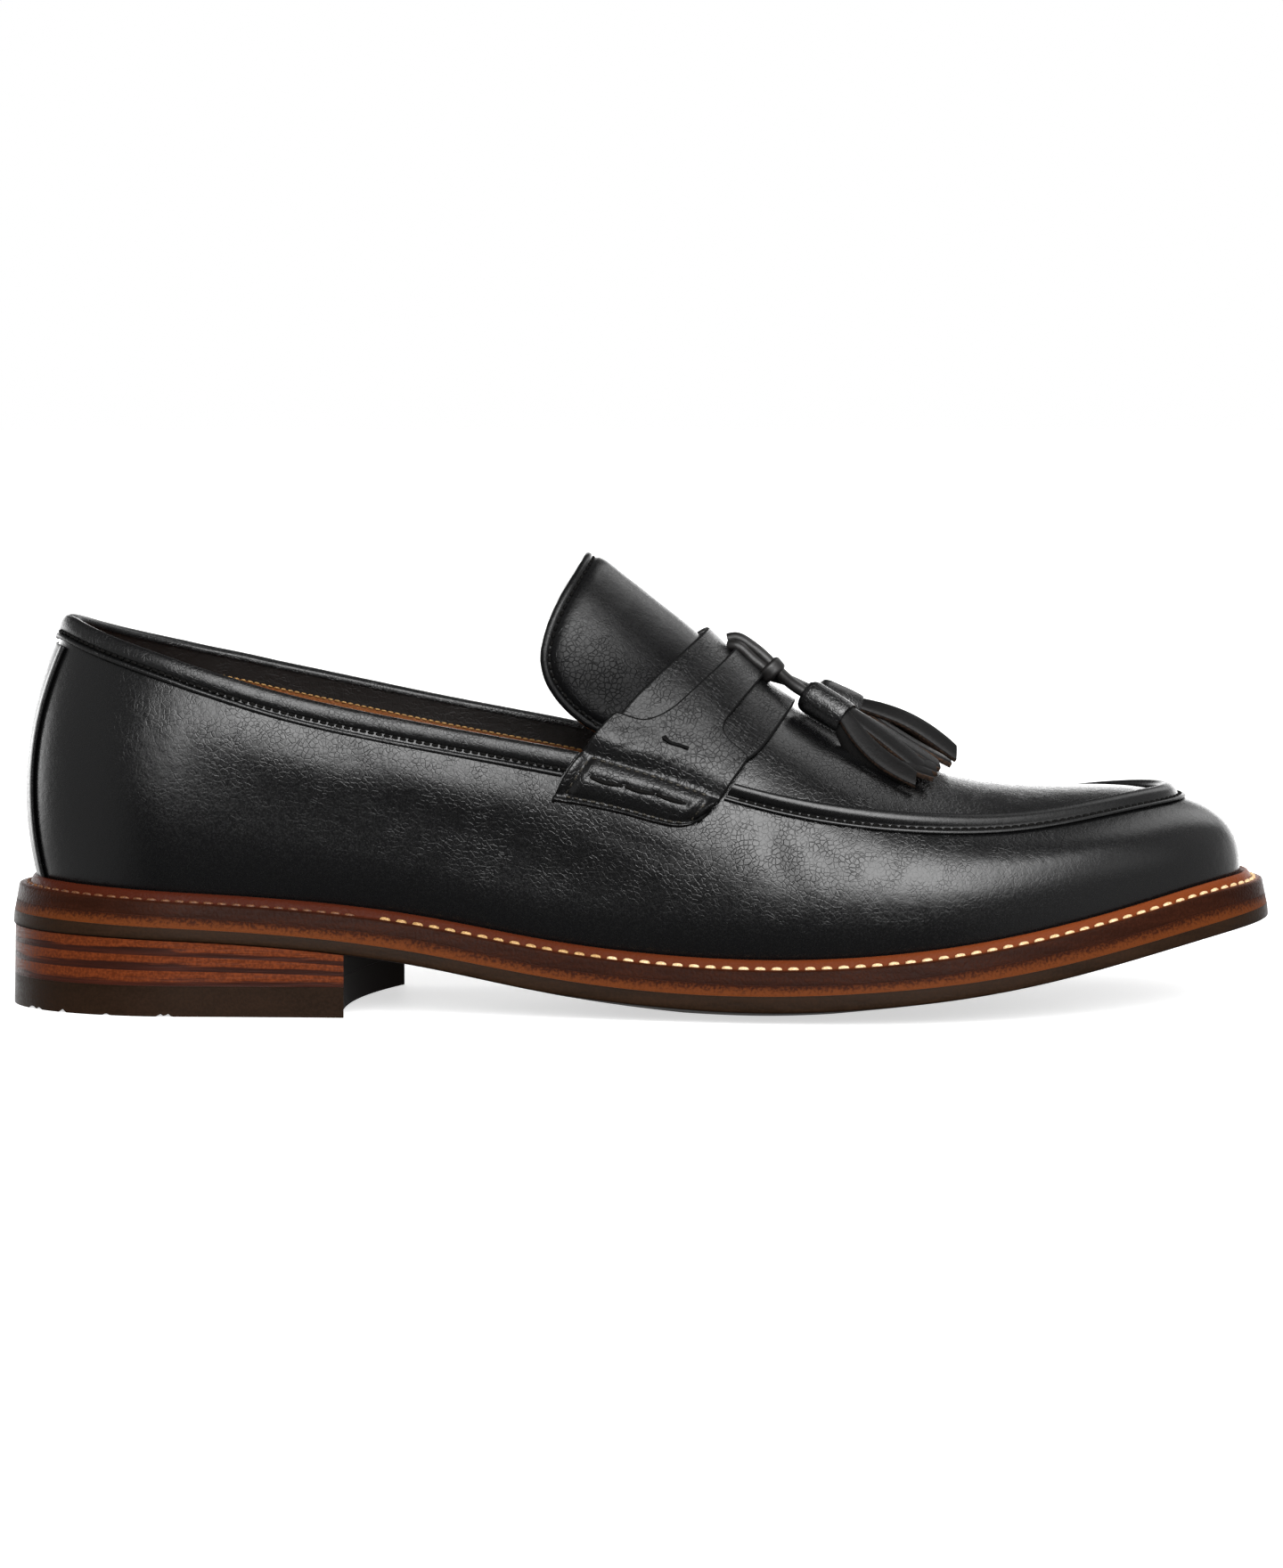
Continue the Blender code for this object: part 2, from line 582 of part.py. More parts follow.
def strap_angle(along, place):
    """Angle round the instep of a place on a strap, read between the tab's three lines."""
    lines = [np.interp(along, line["along"], line["angle"]) for line in (TAB_BOTTOM, TAB_FOLD, TAB_TOP)]
    lines.append(np.full_like(along, 90.0))
    whole = np.clip(np.floor(place).astype(int), 0, 2)
    low, high = np.choose(whole, lines[:3]), np.choose(whole, lines[1:])
    return low + (high - low) * (place - whole)


def strap(profile):
    """Band from the outer tab over the ridge to the inner tab."""
    share = np.linspace(0, 1, STRAP_COLUMNS)
    along = profile["rear"][:, None] + share * (profile["front"] - profile["rear"])[:, None]
    angle = strap_angle(along, profile["place"][:, None] + 0 * along)
    along = np.concatenate([along, along[-2::-1]])
    sheet = instep_point(along, np.concatenate([angle, 180 - angle[-2::-1]]))
    lifts = [np.concatenate([profile[k], profile[k][-2::-1]])[:, None] + 0 * along for k in ("low", "high")]
    return slab(lifted(sheet, lifts[0]), lifted(sheet, lifts[1]))


add_mesh("under_strap", *strap(UNDER_STRAP), BLACK_LEATHER, 0.4)
add_mesh("over_strap", *strap(OVER_STRAP), BLACK_LEATHER, 0.4)


def fuse(node, *pieces):
    """Joins pieces to a node with unions; the pieces stay as hidden tools."""
    for piece in pieces:
        piece.hide_render = True
        piece.display_type = "WIRE"
        union = node.modifiers.new(piece.name, "BOOLEAN")
        union.operation = "UNION"
        union.object = piece


def across_frame(path):
    """Directions along, to the side of and above each point of a path."""
    ahead = np.gradient(path, axis=0)
    ahead /= np.linalg.norm(ahead, axis=-1, keepdims=True)
    side = np.cross(ahead, (0, 0, 1.0))
    side /= np.linalg.norm(side, axis=-1, keepdims=True)
    return ahead, side, np.cross(side, ahead)


def round_bar(path, width, height, sides):
    """Closed bar of oval section along a path; width and height may change along it."""
    _, side, over = across_frame(path)
    turn = np.linspace(0, 2 * np.pi, sides, endpoint=False)[None, :, None]
    wide = np.broadcast_to(np.asarray(width, float), len(path))[:, None, None] / 2
    tall = np.broadcast_to(np.asarray(height, float), len(path))[:, None, None] / 2
    return tube(path[:, None] + wide * np.cos(turn) * side[:, None] + tall * np.sin(turn) * over[:, None])


def curve_through(route, count):
    """Smooth path of evenly counted points through a hand-chosen route."""
    route = np.array(route, float)
    reach = np.concatenate([[0], np.cumsum(np.linalg.norm(np.diff(route, axis=0), axis=1))])
    at = np.linspace(0, reach[-1], count)
    return np.stack([spline(reach, route[:, k])(at) for k in range(3)], -1)


# Lace: a thong that comes up behind the over strap, is gathered by a wrap and parts to both tassels
TASSEL_NEAR_HEAD = np.array(((39.8, -12.0, 75.8), (49.2, -15.8, 70.1)))
TASSEL_FAR_HEAD = np.array(((42.6, 3.4, 74.9), (52.2, 5.2, 70.5)))
LACE_WIDTH, LACE_HEIGHT = 2.8, 2.2
LACE_END_RUN = 2.5
WRAP_WIDTH, WRAP_LENGTH = 4.2, 4.0
WRAP_MIDDLE, WRAP_AIM = np.array((32.4, -7.4, 82.6)), np.array((0.66, 0.0, -0.75))
OVER_ROUTE = (
    (20.9, -4.6, 88.5), (22.6, -4.8, 88.8), (25.8, -5.6, 87.4), (29.4, -6.8, 85.2), (32.4, -7.6, 82.4),
)
UNDER_ROUTE = (31.6, -6.6, 82.5), (33.0, -5.8, 81.0), (36.2, -2.4, 78.9)


def aim_of(head):
    """Direction from the lace end of a tassel's head to its strips."""
    return (head[1] - head[0]) / np.linalg.norm(head[1] - head[0])


def route_to(head, route):
    """Route of a thong that ends square to a tassel's head, just off it."""
    end = head[0] - GAP * aim_of(head)
    return (*route, end - LACE_END_RUN * aim_of(head), end)


lace = add_mesh(
    "lace",
    *round_bar(curve_through(route_to(TASSEL_NEAR_HEAD, OVER_ROUTE), 16), LACE_WIDTH, LACE_HEIGHT, 8),
    BLACK_LEATHER, 0.45,
)
lace_under = add_mesh(
    "lace_under",
    *round_bar(curve_through(route_to(TASSEL_FAR_HEAD, UNDER_ROUTE), 9), LACE_WIDTH, LACE_HEIGHT, 8),
    BLACK_LEATHER, 0.45,
)
wrap_path = WRAP_MIDDLE + np.outer(np.linspace(-0.5, 0.5, 4) * WRAP_LENGTH, WRAP_AIM)
lace_wrap = add_mesh(
    "lace_wrap",
    *round_bar(wrap_path, np.array([0.85, 1, 1, 0.85]) * WRAP_WIDTH, WRAP_WIDTH, 10),
    BLACK_LEATHER, 0.45,
)
fuse(lace, lace_under, lace_wrap)

# Tassels: a wrapped head with cut strips fanned out towards the toe; each strip has a middle, a tip
# and the direction that its flat face looks in
HEAD_WIDTH, HEAD_HEIGHT = 9.4, 8.8
HEAD_SWELL = np.array([0.74, 1.0, 1.04, 0.98, 0.9])
STRIP_WIDTH, STRIP_THICKNESS = 4.4, 1.4
STRIP_ROOT, STRIP_SPREAD = 2.6, 2.2
TASSELS = {
    "tassel_near": (TASSEL_NEAR_HEAD, (
        ((56.0, -23.0, 62.1), (65.4, -27.4, 56.2), (0.1, -0.80, 0.60)),
        ((59.0, -17.4, 64.9), (67.4, -19.6, 58.2), (0.3, -0.65, 0.70)),
        ((61.6, -12.6, 64.9), (71.4, -13.6, 58.6), (0.3, -0.30, 0.90)),
        ((57.4, -19.2, 62.2), (69.4, -23.0, 56.9), (0.3, -0.35, 0.90)),
    )),
    "tassel_far": (TASSEL_FAR_HEAD, (
        ((64.8, 1.4, 68.3), (76.4, 0.6, 60.4), (0.3, -0.75, 0.60)),
        ((63.8, 8.6, 66.0), (74.6, 8.4, 58.6), (0.4, 0.30, 0.85)),
        ((63.0, 2.8, 64.9), (74.6, 2.0, 58.3), (0.3, -0.15, 0.90)),
        ((61.6, 11.6, 63.6), (71.6, 15.4, 57.2), (0.2, 0.75, 0.65)),
    )),
}


def strip(head, middle, tip, face):
    """Flat thong from inside the head through a middle point to its cut tip."""
    face = np.array(face)
    root = head[1] - STRIP_ROOT * aim_of(head) + STRIP_SPREAD * face
    path = curve_through((root, middle, tip), 6)
    ahead = across_frame(path)[0]
    side = np.cross(ahead, face)
    side /= np.linalg.norm(side, axis=-1, keepdims=True)
    over = np.cross(side, ahead)
    edges = path[:, None] + side[:, None] * np.array((-0.5, 0.5))[:, None] * STRIP_WIDTH
    return slab(edges - over[:, None] * STRIP_THICKNESS / 2, edges + over[:, None] * STRIP_THICKNESS / 2)


for name, (ends_of_head, strips) in TASSELS.items():
    path = ends_of_head[0] + np.linspace(0, 1, len(HEAD_SWELL))[:, None] * (ends_of_head[1] - ends_of_head[0])
    bar = round_bar(path, HEAD_SWELL * HEAD_WIDTH, HEAD_SWELL * HEAD_HEIGHT, 12)
    head = add_mesh(name, *bar, BLACK_LEATHER, 0.45)
    thongs = [
        add_mesh(f"{name}_strip_{k}", *strip(ends_of_head, *shape), BLACK_LEATHER, 0.45)
        for k, shape in enumerate(strips)
    ]
    fuse(head, *thongs)
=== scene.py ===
"""Black leather slip-on shoe with tassels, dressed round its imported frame.

Sizes are in millimetres and become metres where a mesh is made. +X points to the toe, +Y to the inner
side of the foot and +Z up, with the origin on the floor under the middle of the sole.
"""
import math

import bmesh
import bpy
import numpy as np
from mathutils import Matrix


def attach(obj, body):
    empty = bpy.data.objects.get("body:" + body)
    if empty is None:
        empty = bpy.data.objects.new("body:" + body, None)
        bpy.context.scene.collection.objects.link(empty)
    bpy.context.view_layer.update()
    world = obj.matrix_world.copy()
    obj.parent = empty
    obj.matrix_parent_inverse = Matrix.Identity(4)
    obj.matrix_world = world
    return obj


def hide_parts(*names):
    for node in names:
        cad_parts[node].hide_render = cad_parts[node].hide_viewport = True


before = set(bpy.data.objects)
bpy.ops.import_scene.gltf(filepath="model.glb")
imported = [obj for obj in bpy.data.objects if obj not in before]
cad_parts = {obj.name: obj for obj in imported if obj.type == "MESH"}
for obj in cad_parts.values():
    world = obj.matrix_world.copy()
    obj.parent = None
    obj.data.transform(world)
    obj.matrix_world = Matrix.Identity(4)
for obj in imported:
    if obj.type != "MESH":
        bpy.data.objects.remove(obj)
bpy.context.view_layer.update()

# Outsole: a stout leather sole, its edge trimmed, waxed dark brown and slightly rounded. It lies flat
# under the ball, is crowned across and springs up at the toe.
MM = 0.001
WELD = 0.002
EDGE_SEGMENTS, EDGE_ANGLE, SHARP_ANGLE = 3, math.radians(48), math.radians(55)
OUTER, INNER = -1, 1
HALF_LENGTH = 152.0
TOE_ROUND, TOE_POWER = 92.0, 2.2
HEEL_ROUND, HEEL_POWER = 42.0, 2.0
STATIONS = 260
ACROSS = 10


def table(names, *rows):
    """Rows of numbers as arrays that are read by column name."""
    return dict(zip(names.split(), np.array(rows, float).T))


def spline(xs, ys):
    """Natural cubic spline: bends solve the usual tridiagonal rows and are nil at both ends."""
    count, step, rise = len(xs), np.diff(xs), np.diff(ys)
    matrix, right = np.eye(count), np.zeros(count)
    for i in range(1, count - 1):
        matrix[i, i - 1:i + 2] = step[i - 1], 2 * (step[i - 1] + step[i]), step[i]
        right[i] = 6 * (rise[i] / step[i] - rise[i - 1] / step[i - 1])
    bend = np.linalg.solve(matrix, right)

    def value(x):
        x = np.clip(x, xs[0], xs[-1])
        i = np.clip(np.searchsorted(xs, x) - 1, 0, count - 2)
        after, before, h = xs[i + 1] - x, x - xs[i], step[i]
        cubic = (bend[i] * after ** 3 + bend[i + 1] * before ** 3) / (6 * h)
        return cubic + (ys[i] / h - bend[i] * h / 6) * after + (ys[i + 1] / h - bend[i + 1] * h / 6) * before

    return value


PLAN = table(
    "x centre half",
    (-152, 2.4, 34.6), (-110, 2.2, 34.7), (-82, 1.1, 35.0), (-52, -1.4, 35.0),
    (-27, -3.1, 36.8), (-2, -3.9, 40.6), (23, -3.4, 45.6), (48, -1.9, 50.2),
    (66, -0.3, 52.1), (90, 2.3, 52.2), (120, 4.8, 50.6), (152, 6.0, 46.5),
)
SIDE = table(
    "x bottom outsole midsole welt",
    (-152, 19.2, 22.7, 25.4, 29.4), (-110, 17.9, 21.0, 23.7, 27.1), (-78, 15.7, 18.9, 21.6, 25.0),
    (-52, 12.2, 15.5, 18.5, 21.8), (-25, 7.0, 10.7, 13.2, 17.0), (0, 4.0, 7.7, 10.5, 14.0),
    (30, 2.7, 6.8, 9.3, 12.8), (60, 4.5, 8.4, 10.7, 14.4), (90, 8.4, 11.9, 15.1, 18.6),
    (120, 14.7, 17.9, 21.0, 25.1), (140, 18.8, 22.0, 25.2, 29.2), (152, 20.6, 24.0, 26.5, 30.2),
)
CROWN = table("x depth", (-152, 0.0), (-50, 0.0), (-20, 2.8), (10, 4.2), (45, 4.2), (90, 2.0), (152, 0.0))
centre = spline(PLAN["x"], PLAN["centre"])
plain_half = spline(PLAN["x"], PLAN["half"])
bottom_edge = spline(SIDE["x"], SIDE["bottom"])
outsole_top = spline(SIDE["x"], SIDE["outsole"])
midsole_top = spline(SIDE["x"], SIDE["midsole"])
welt_top = spline(SIDE["x"], SIDE["welt"])


def points(*axes):
    """Stacks x, y and z arrays into points."""
    return np.stack(np.broadcast_arrays(*axes), -1)


def half_width(x, inset):
    """Half width of the sole's outline, moved in by inset; toe and heel are parts of superellipses."""
    toe = np.clip((x - HALF_LENGTH + TOE_ROUND) / (TOE_ROUND - inset), 0, 1)
    heel = np.clip((HEEL_ROUND - HALF_LENGTH - x) / (HEEL_ROUND - inset), 0, 1)
    rounding = (1 - toe ** TOE_POWER) ** (1 / TOE_POWER) * (1 - heel ** HEEL_POWER) ** (1 / HEEL_POWER)
    return (plain_half(x) - inset) * rounding


def outline(share, side, inset):
    """Plan point on the outline: share runs from heel (0) to toe (1) as a cosine of x."""
    x = -np.cos(np.pi * share) * (HALF_LENGTH - inset)
    return x, centre(x) + side * half_width(x, inset)


def grid_faces(index):
    """Quads between the rows and columns of a grid of vertex numbers."""
    corners = index[:-1, :-1], index[1:, :-1], index[1:, 1:], index[:-1, 1:]
    return np.stack(corners, -1).reshape(-1, 4)


def numbered(shape):
    """Vertex numbers of a grid of rows and columns."""
    return np.arange(shape[0] * shape[1]).reshape(shape[:2])


def closed(index, axis):
    """A grid of vertex numbers whose first row or column is repeated after the last."""
    return np.concatenate([index, np.take(index, [0], axis)], axis)


def add_piece(name, verts, faces, materials, slot=None, nodes=(), tones=None, edge=0.0, values=None):
    """Piece from a grid: equal points are joined, faces that shrink to a line are dropped, and the
    faces are turned outwards. Tones give each face its material, values are kept for each point."""
    verts = np.asarray(verts, float).reshape(-1, 3)
    _, first, merged = np.unique(np.round(verts / WELD), axis=0, return_index=True, return_inverse=True)
    merged = merged.reshape(-1)
    whole = [list(dict.fromkeys(merged[np.asarray(face)].tolist())) for face in faces]
    kept = [k for k, face in enumerate(whole) if len(face) > 2]
    mesh = bpy.data.meshes.new(name)
    mesh.from_pydata((verts[first] * MM).tolist(), [], [whole[k] for k in kept])
    for material in materials:
        mesh.materials.append(material)
    if tones is not None:
        mesh.polygons.foreach_set("material_index", np.asarray(tones, np.int32)[kept])
    for label, value in (values or {}).items():
        flat = np.asarray(value, np.float32).reshape(-1)[first]
        mesh.attributes.new(label, "FLOAT", "POINT").data.foreach_set("value", flat)
    work = bmesh.new()
    work.from_mesh(mesh)
    bmesh.ops.recalc_face_normals(work, faces=work.faces)
    work.to_mesh(mesh)
    work.free()
    mesh.shade_smooth()
    piece = bpy.data.objects.new(name, mesh)
    bpy.context.collection.objects.link(piece)
    if edge:
        bevel = piece.modifiers.new("edge", "BEVEL")
        bevel.width = edge * MM
        bevel.segments = EDGE_SEGMENTS
        bevel.limit_method = "ANGLE"
        bevel.angle_limit = EDGE_ANGLE
    else:
        mesh.set_sharp_from_angle(angle=SHARP_ANGLE)
    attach(piece, "root")
    if nodes:
        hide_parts(*nodes)


def put_node(tree, kind, sockets=None, **settings):
    """Adds a shader node; a socket's value may be another node's output, which is then linked."""
    made = tree.nodes.new("ShaderNode" + kind)
    for key, value in settings.items():
        setattr(made, key, value)
    for key, value in (sockets or {}).items():
        if isinstance(value, bpy.types.NodeSocket):
            tree.links.new(value, made.inputs[key])
        else:
            made.inputs[key].default_value = value
    return made


def blended(tree, share, first, second):
    """Colour that goes from first to second with a share."""
    colours = {"Factor": share, 6: first, 7: second}
    return put_node(tree, "Mix", colours, data_type="RGBA").outputs[2]


def sum_of(tree, *values, operation="ADD"):
    """Values or outputs added one after the other, or joined by another operation."""
    total = values[0]
    for value in values[1:]:
        total = put_node(tree, "Math", {0: total, 1: value}, operation=operation).outputs[0]
    return total


def product_of(tree, *values):
    """Values or outputs multiplied one after the other."""
    return sum_of(tree, *values, operation="MULTIPLY")


def ranged(tree, value, low, high, to_low=0.0, to_high=1.0, curve="SMOOTHSTEP"):
    """Value carried from one range to another, held at both ends."""
    ends = {"Value": value, "From Min": low, "From Max": high, "To Min": to_low, "To Max": to_high}
    return put_node(tree, "MapRange", ends, interpolation_type=curve).outputs[0]


def new_group(name, inputs, outputs):
    """Empty shader group with plain value sockets; returns it with its two end nodes."""
    group = bpy.data.node_groups.new(name, "ShaderNodeTree")
    for label, value in inputs.items():
        group.interface.new_socket(label, in_out="INPUT", socket_type="NodeSocketFloat").default_value = value
    for label in outputs:
        group.interface.new_socket(label, in_out="OUTPUT", socket_type="NodeSocketFloat")
    return group, group.nodes.new("NodeGroupInput"), group.nodes.new("NodeGroupOutput")


def own_value(tree, label):
    """Value that a piece keeps for each of its points."""
    return put_node(tree, "Attribute", attribute_name=label).outputs["Fac"]


def add_relief(tree, shader, depth, height):
    """Moves a shader's normal by a height, which is depth millimetres where it is one."""
    bump = put_node(tree, "Bump", {"Distance": depth * MM, "Height": height})
    tree.links.new(bump.outputs[0], shader.inputs["Normal"])


def new_material(name, roughness, specular=0.5):
    """Principled material with its constant sockets set; returns material, tree and shader."""
    material = bpy.data.materials.new(name)
    material.use_nodes = True
    shader = material.node_tree.nodes["Principled BSDF"]
    shader.inputs["Roughness"].default_value = roughness
    shader.inputs["Specular IOR Level"].default_value = specular
    return material, material.node_tree, shader


# Fibre of a trimmed leather edge: streaks that lie along the layers, and small specks
fibre, fibre_in, fibre_out = new_group("trimmed_fibre", {"Layers": 520.0}, ("Streak", "Speck"))
fibre_place = put_node(fibre, "TexCoord").outputs["Object"]
fibre_scale = put_node(fibre, "CombineXYZ", {"X": 42.0, "Y": 42.0, "Z": fibre_in.outputs["Layers"]})
fibre_long = put_node(
    fibre, "VectorMath", {0: fibre_place, 1: fibre_scale.outputs[0]}, operation="MULTIPLY")
fibre_streak = put_node(
    fibre, "TexNoise", {"Vector": fibre_long.outputs[0], "Scale": 1.0, "Detail": 4.0, "Roughness": 0.62})
fibre_speck = put_node(fibre, "TexNoise", {"Vector": fibre_place, "Scale": 1500.0, "Detail": 3.0})
fibre.links.new(ranged(fibre, fibre_streak.outputs[0], 0.3, 0.7), fibre_out.inputs["Streak"])
fibre.links.new(ranged(fibre, fibre_speck.outputs[0], 0.35, 0.68), fibre_out.inputs["Speck"])


def edge_material(name, dark, light, roughness, layers, speck, bump):
    """Trimmed edge: colour from dark to light with the streaks and specks, rough where it is light."""
    material, tree, shader = new_material(name, roughness, specular=0.08)
    grain = put_node(tree, "Group", {"Layers": layers}, node_tree=fibre)
    spots = product_of(tree, grain.outputs["Speck"], speck)
    share = sum_of(tree, product_of(tree, grain.outputs["Streak"], 1 - speck), spots)
    tree.links.new(blended(tree, share, dark, light), shader.inputs["Base Color"])
    rough = ranged(tree, share, 0.0, 1.0, roughness - 0.1, roughness + 0.12, "LINEAR")
    tree.links.new(rough, shader.inputs["Roughness"])
    add_relief(tree, shader, bump, share)
    return material


def under_face(x, y):
    """Height of the sole's underside: its edge line less a crown across, never below the floor."""
    share = (y - centre(x)) / np.maximum(half_width(x, 0), 1.0)
    crown = np.interp(x, CROWN["x"], CROWN["depth"])
    return np.maximum(bottom_edge(x) - crown * (1 - np.minimum(share ** 2, 1)), 0)


def add_layer(name, edge, low, high, material, slot, node):
    """Closed plate: rows of inset and level carry its edge round the outline from underside to top,
    and straight rows across close both faces."""
    share = np.linspace(0, 1, STATIONS + 1)[:, None]
    sides = []
    for side in (OUTER, INNER):
        x, y = outline(share, side, edge["inset"])
        bottom = low(x, y)
        sides.append(points(x, y, bottom + (high(x, y) - bottom) * edge["level"]))
    outer, inner = sides
    m = np.linspace(0, 1, ACROSS + 2)[1:-1][:, None]
    top = outer[:, -1:] + m * (inner[:, -1:] - outer[:, -1:])
    top[..., 2] = high(top[..., 0], top[..., 1])
    under = inner[:, :1] + m * (outer[:, :1] - inner[:, :1])
    under[..., 2] = low(under[..., 0], under[..., 1])
    loop = np.concatenate([outer, top, inner[:, ::-1], under], 1)
    levels = np.concatenate([edge["level"], np.ones(ACROSS), edge["level"][::-1], np.zeros(ACROSS)])
    add_piece(
        name, loop, grid_faces(closed(numbered(loop.shape), 1)), [material], slot, [node],
        values={"level": np.broadcast_to(levels, loop.shape[:2])})


OUTSOLE_EDGE = table(
    "inset level",
    (14, 0), (5, 0), (0.4, 0), (-0.45, 0.02), (-0.85, 0.08), (-0.97, 0.18), (-0.95, 0.4),
    (-0.8, 0.8), (-0.7, 1), (5, 1), (14, 1),
)
outsole_wax = edge_material(
    "outsole_wax", (0.0125, 0.0063, 0.003, 1), (0.025, 0.0117, 0.0055, 1), 0.5, 300.0, 0.4, 0.04)
add_layer(
    "outsole_leather", OUTSOLE_EDGE, under_face, lambda x, y: outsole_top(x) + 0 * y,
    outsole_wax, "outsole_black", "outsole")

# Heel: three wedge-shaped leather lifts, pressed together and stained so that a dark seam runs between
# the red-brown bands, on a rubber top lift. Their fronts are cut to a hollow slanted breast, which is
# nearly black and matt.
BREAST_X, BREAST_SLANT, BREAST_HOLLOW = -65.0, 5.8, 5.0
LEATHER_LIFTS = 3
LIFT_SEAM = 0.03
TOP_LIFT_HEIGHT = 7.3
HEEL_INSET, HEEL_FLARE = -0.9, 0.02
HEEL_ROWS, HEEL_COLUMNS = 180, 41
heel_along = (1 - np.cos(np.pi / 2 * np.linspace(0, 1, HEEL_ROWS)))[:, None]
heel_across = np.sin(np.pi / 2 * np.linspace(-1, 1, HEEL_COLUMNS))


def heel_sheet(height):
    """Heel-shaped sheet at a height function of x; the heel narrows a little as it rises."""
    breast = BREAST_X + BREAST_SLANT * heel_across - BREAST_HOLLOW * (1 - heel_across ** 2)
    inset = HEEL_INSET + HEEL_FLARE * height(np.array(BREAST_X - HEEL_ROUND))
    tip = inset - HALF_LENGTH
    x = tip + (breast - tip) * heel_along
    return points(x, centre(x) + heel_across * half_width(x, inset), height(x))


def slab(low, high):
    """Closed solid between two sheets that have the same rows and columns."""
    index = numbered(low.shape)
    rim = np.concatenate([index[0], index[1:, -1], index[-1, -2::-1], index[-2::-1, 0]])
    walls = grid_faces(np.stack([rim, rim + index.size]))
    faces = np.concatenate([grid_faces(index), grid_faces(index + index.size), walls])
    return np.concatenate([low.reshape(-1, 3), high.reshape(-1, 3)]), faces


def stack_height(share):
    """Height function inside the leather stack at a share of the way up from the top lift."""
    return lambda x: TOP_LIFT_HEIGHT + LIFT_SEAM + (bottom_edge(x) - TOP_LIFT_HEIGHT - 2 * LIFT_SEAM) * share


stack_stain, stack_tree, stack_shader = new_material("heel_stack_stain", 0.42, specular=0.1)
stack_grain = put_node(stack_tree, "Group", {"Layers": 900.0}, node_tree=fibre)
stack_level = own_value(stack_tree, "level")
stack_waver = ranged(stack_tree, stack_grain.outputs["Streak"], 0.0, 1.0, -0.17, 0.17, "LINEAR")
stack_band = ranged(stack_tree, sum_of(stack_tree, stack_level, stack_waver), 0.30, 0.52)
stack_light = blended(
    stack_tree, stack_grain.outputs["Speck"], (0.081, 0.0162, 0.0038, 1), (0.145, 0.0305, 0.0068, 1))
stack_dark = blended(
    stack_tree, stack_grain.outputs["Streak"], (0.020, 0.0054, 0.003, 1), (0.042, 0.010, 0.005, 1))
stack_colour = blended(stack_tree, stack_band, stack_dark, stack_light)
stack_tree.links.new(stack_colour, stack_shader.inputs["Base Color"])
stack_rough = ranged(stack_tree, stack_grain.outputs["Speck"], 0.0, 1.0, 0.36, 0.55, "LINEAR")
stack_tree.links.new(stack_rough, stack_shader.inputs["Roughness"])
add_relief(stack_tree, stack_shader, 0.06, stack_grain.outputs["Streak"])

near_black_breast, _, breast_shader = new_material("near_black_breast", 0.8, specular=0.02)
breast_shader.inputs["Base Color"].default_value = (0.007, 0.004, 0.0028, 1)


def breast_tones(sheet):
    """Materials of a lift's faces: the second one on the front wall, which follows the inner wall."""
    rows, columns = sheet.shape[:2]
    before = 2 * (rows - 1) * (columns - 1) + columns - 1 + rows - 1
    return np.repeat([0, 1, 0], [before, columns - 1, rows - 1])


for number in range(LEATHER_LIFTS):
    lower = heel_sheet(stack_height(number / LEATHER_LIFTS))
    upper = heel_sheet(stack_height((number + 1) / LEATHER_LIFTS))
    levels = np.concatenate([np.zeros(lower.shape[:2]), np.ones(upper.shape[:2])])
    add_piece(
        f"heel_stack_{number + 1}", *slab(lower, upper), [stack_stain, near_black_breast], "heel_stack",
        [f"heel_lift_{number + 1}"], tones=breast_tones(lower), values={"level": levels})

# Top lift: a moulded plate of dark rubber under the leather stack, on which the heel stands. Wear has
# nicked its lower edge here and there.
NICK_COLUMNS = 9
NICKS = table(
    "x width depth",
    (-146.8, 1.1, 0.8), (-145.0, 0.8, 0.6), (-138.8, 0.9, 0.8), (-127.8, 1.0, 0.5),
    (-114.6, 1.0, 0.7), (-112.8, 0.9, 0.8),
)
top_lift_rubber = edge_material(
    "top_lift_rubber", (0.012, 0.006, 0.0028, 1), (0.021, 0.0098, 0.0048, 1), 0.5, 160.0, 0.55, 0.02)
lift_floor = heel_sheet(lambda x: 0.0 * x)
lift_edge = np.zeros(lift_floor.shape[:2])
lift_edge[:, :NICK_COLUMNS] = 1.0
nick_reach = 1 - np.abs(lift_floor[..., :1] - NICKS["x"]) / NICKS["width"]
lift_floor[..., 2] += lift_edge * np.max(np.clip(nick_reach, 0, 1) * NICKS["depth"], -1)
add_piece(
    "top_lift_plate", *slab(lift_floor, heel_sheet(lambda x: TOP_LIFT_HEIGHT + 0 * x)),
    [top_lift_rubber, near_black_breast], "top_lift_rubber", ["top_lift"], tones=breast_tones(lift_floor))

# Midsole: an even strip of brown fibre board between outsole and welt, matt and speckled. It is stained
# dark from the welt down, so its orange shows along the outsole.
MIDSOLE_EDGE = table(
    "inset level",
    (14, 0), (3, 0), (-0.66, 0), (-0.6, 0.12), (-0.45, 0.4), (-0.3, 0.7), (-0.16, 1), (3, 1), (14, 1),
)
midsole_board, board_tree, board_shader = new_material("midsole_board", 0.55, specular=0.05)
board_grain = put_node(board_tree, "Group", node_tree=fibre)
board_level = own_value(board_tree, "level")
board_spots = ranged(board_tree, board_grain.outputs["Speck"], 0.0, 1.0, -0.24, 0.24, "LINEAR")
board_share = ranged(board_tree, sum_of(board_tree, board_level, board_spots), 0.15, 1.0)
board_colour = blended(board_tree, board_share, (0.110, 0.0285, 0.0066, 1), (0.026, 0.0065, 0.0026, 1))
board_tree.links.new(board_colour, board_shader.inputs["Base Color"])
add_relief(board_tree, board_shader, 0.05, board_grain.outputs["Speck"])
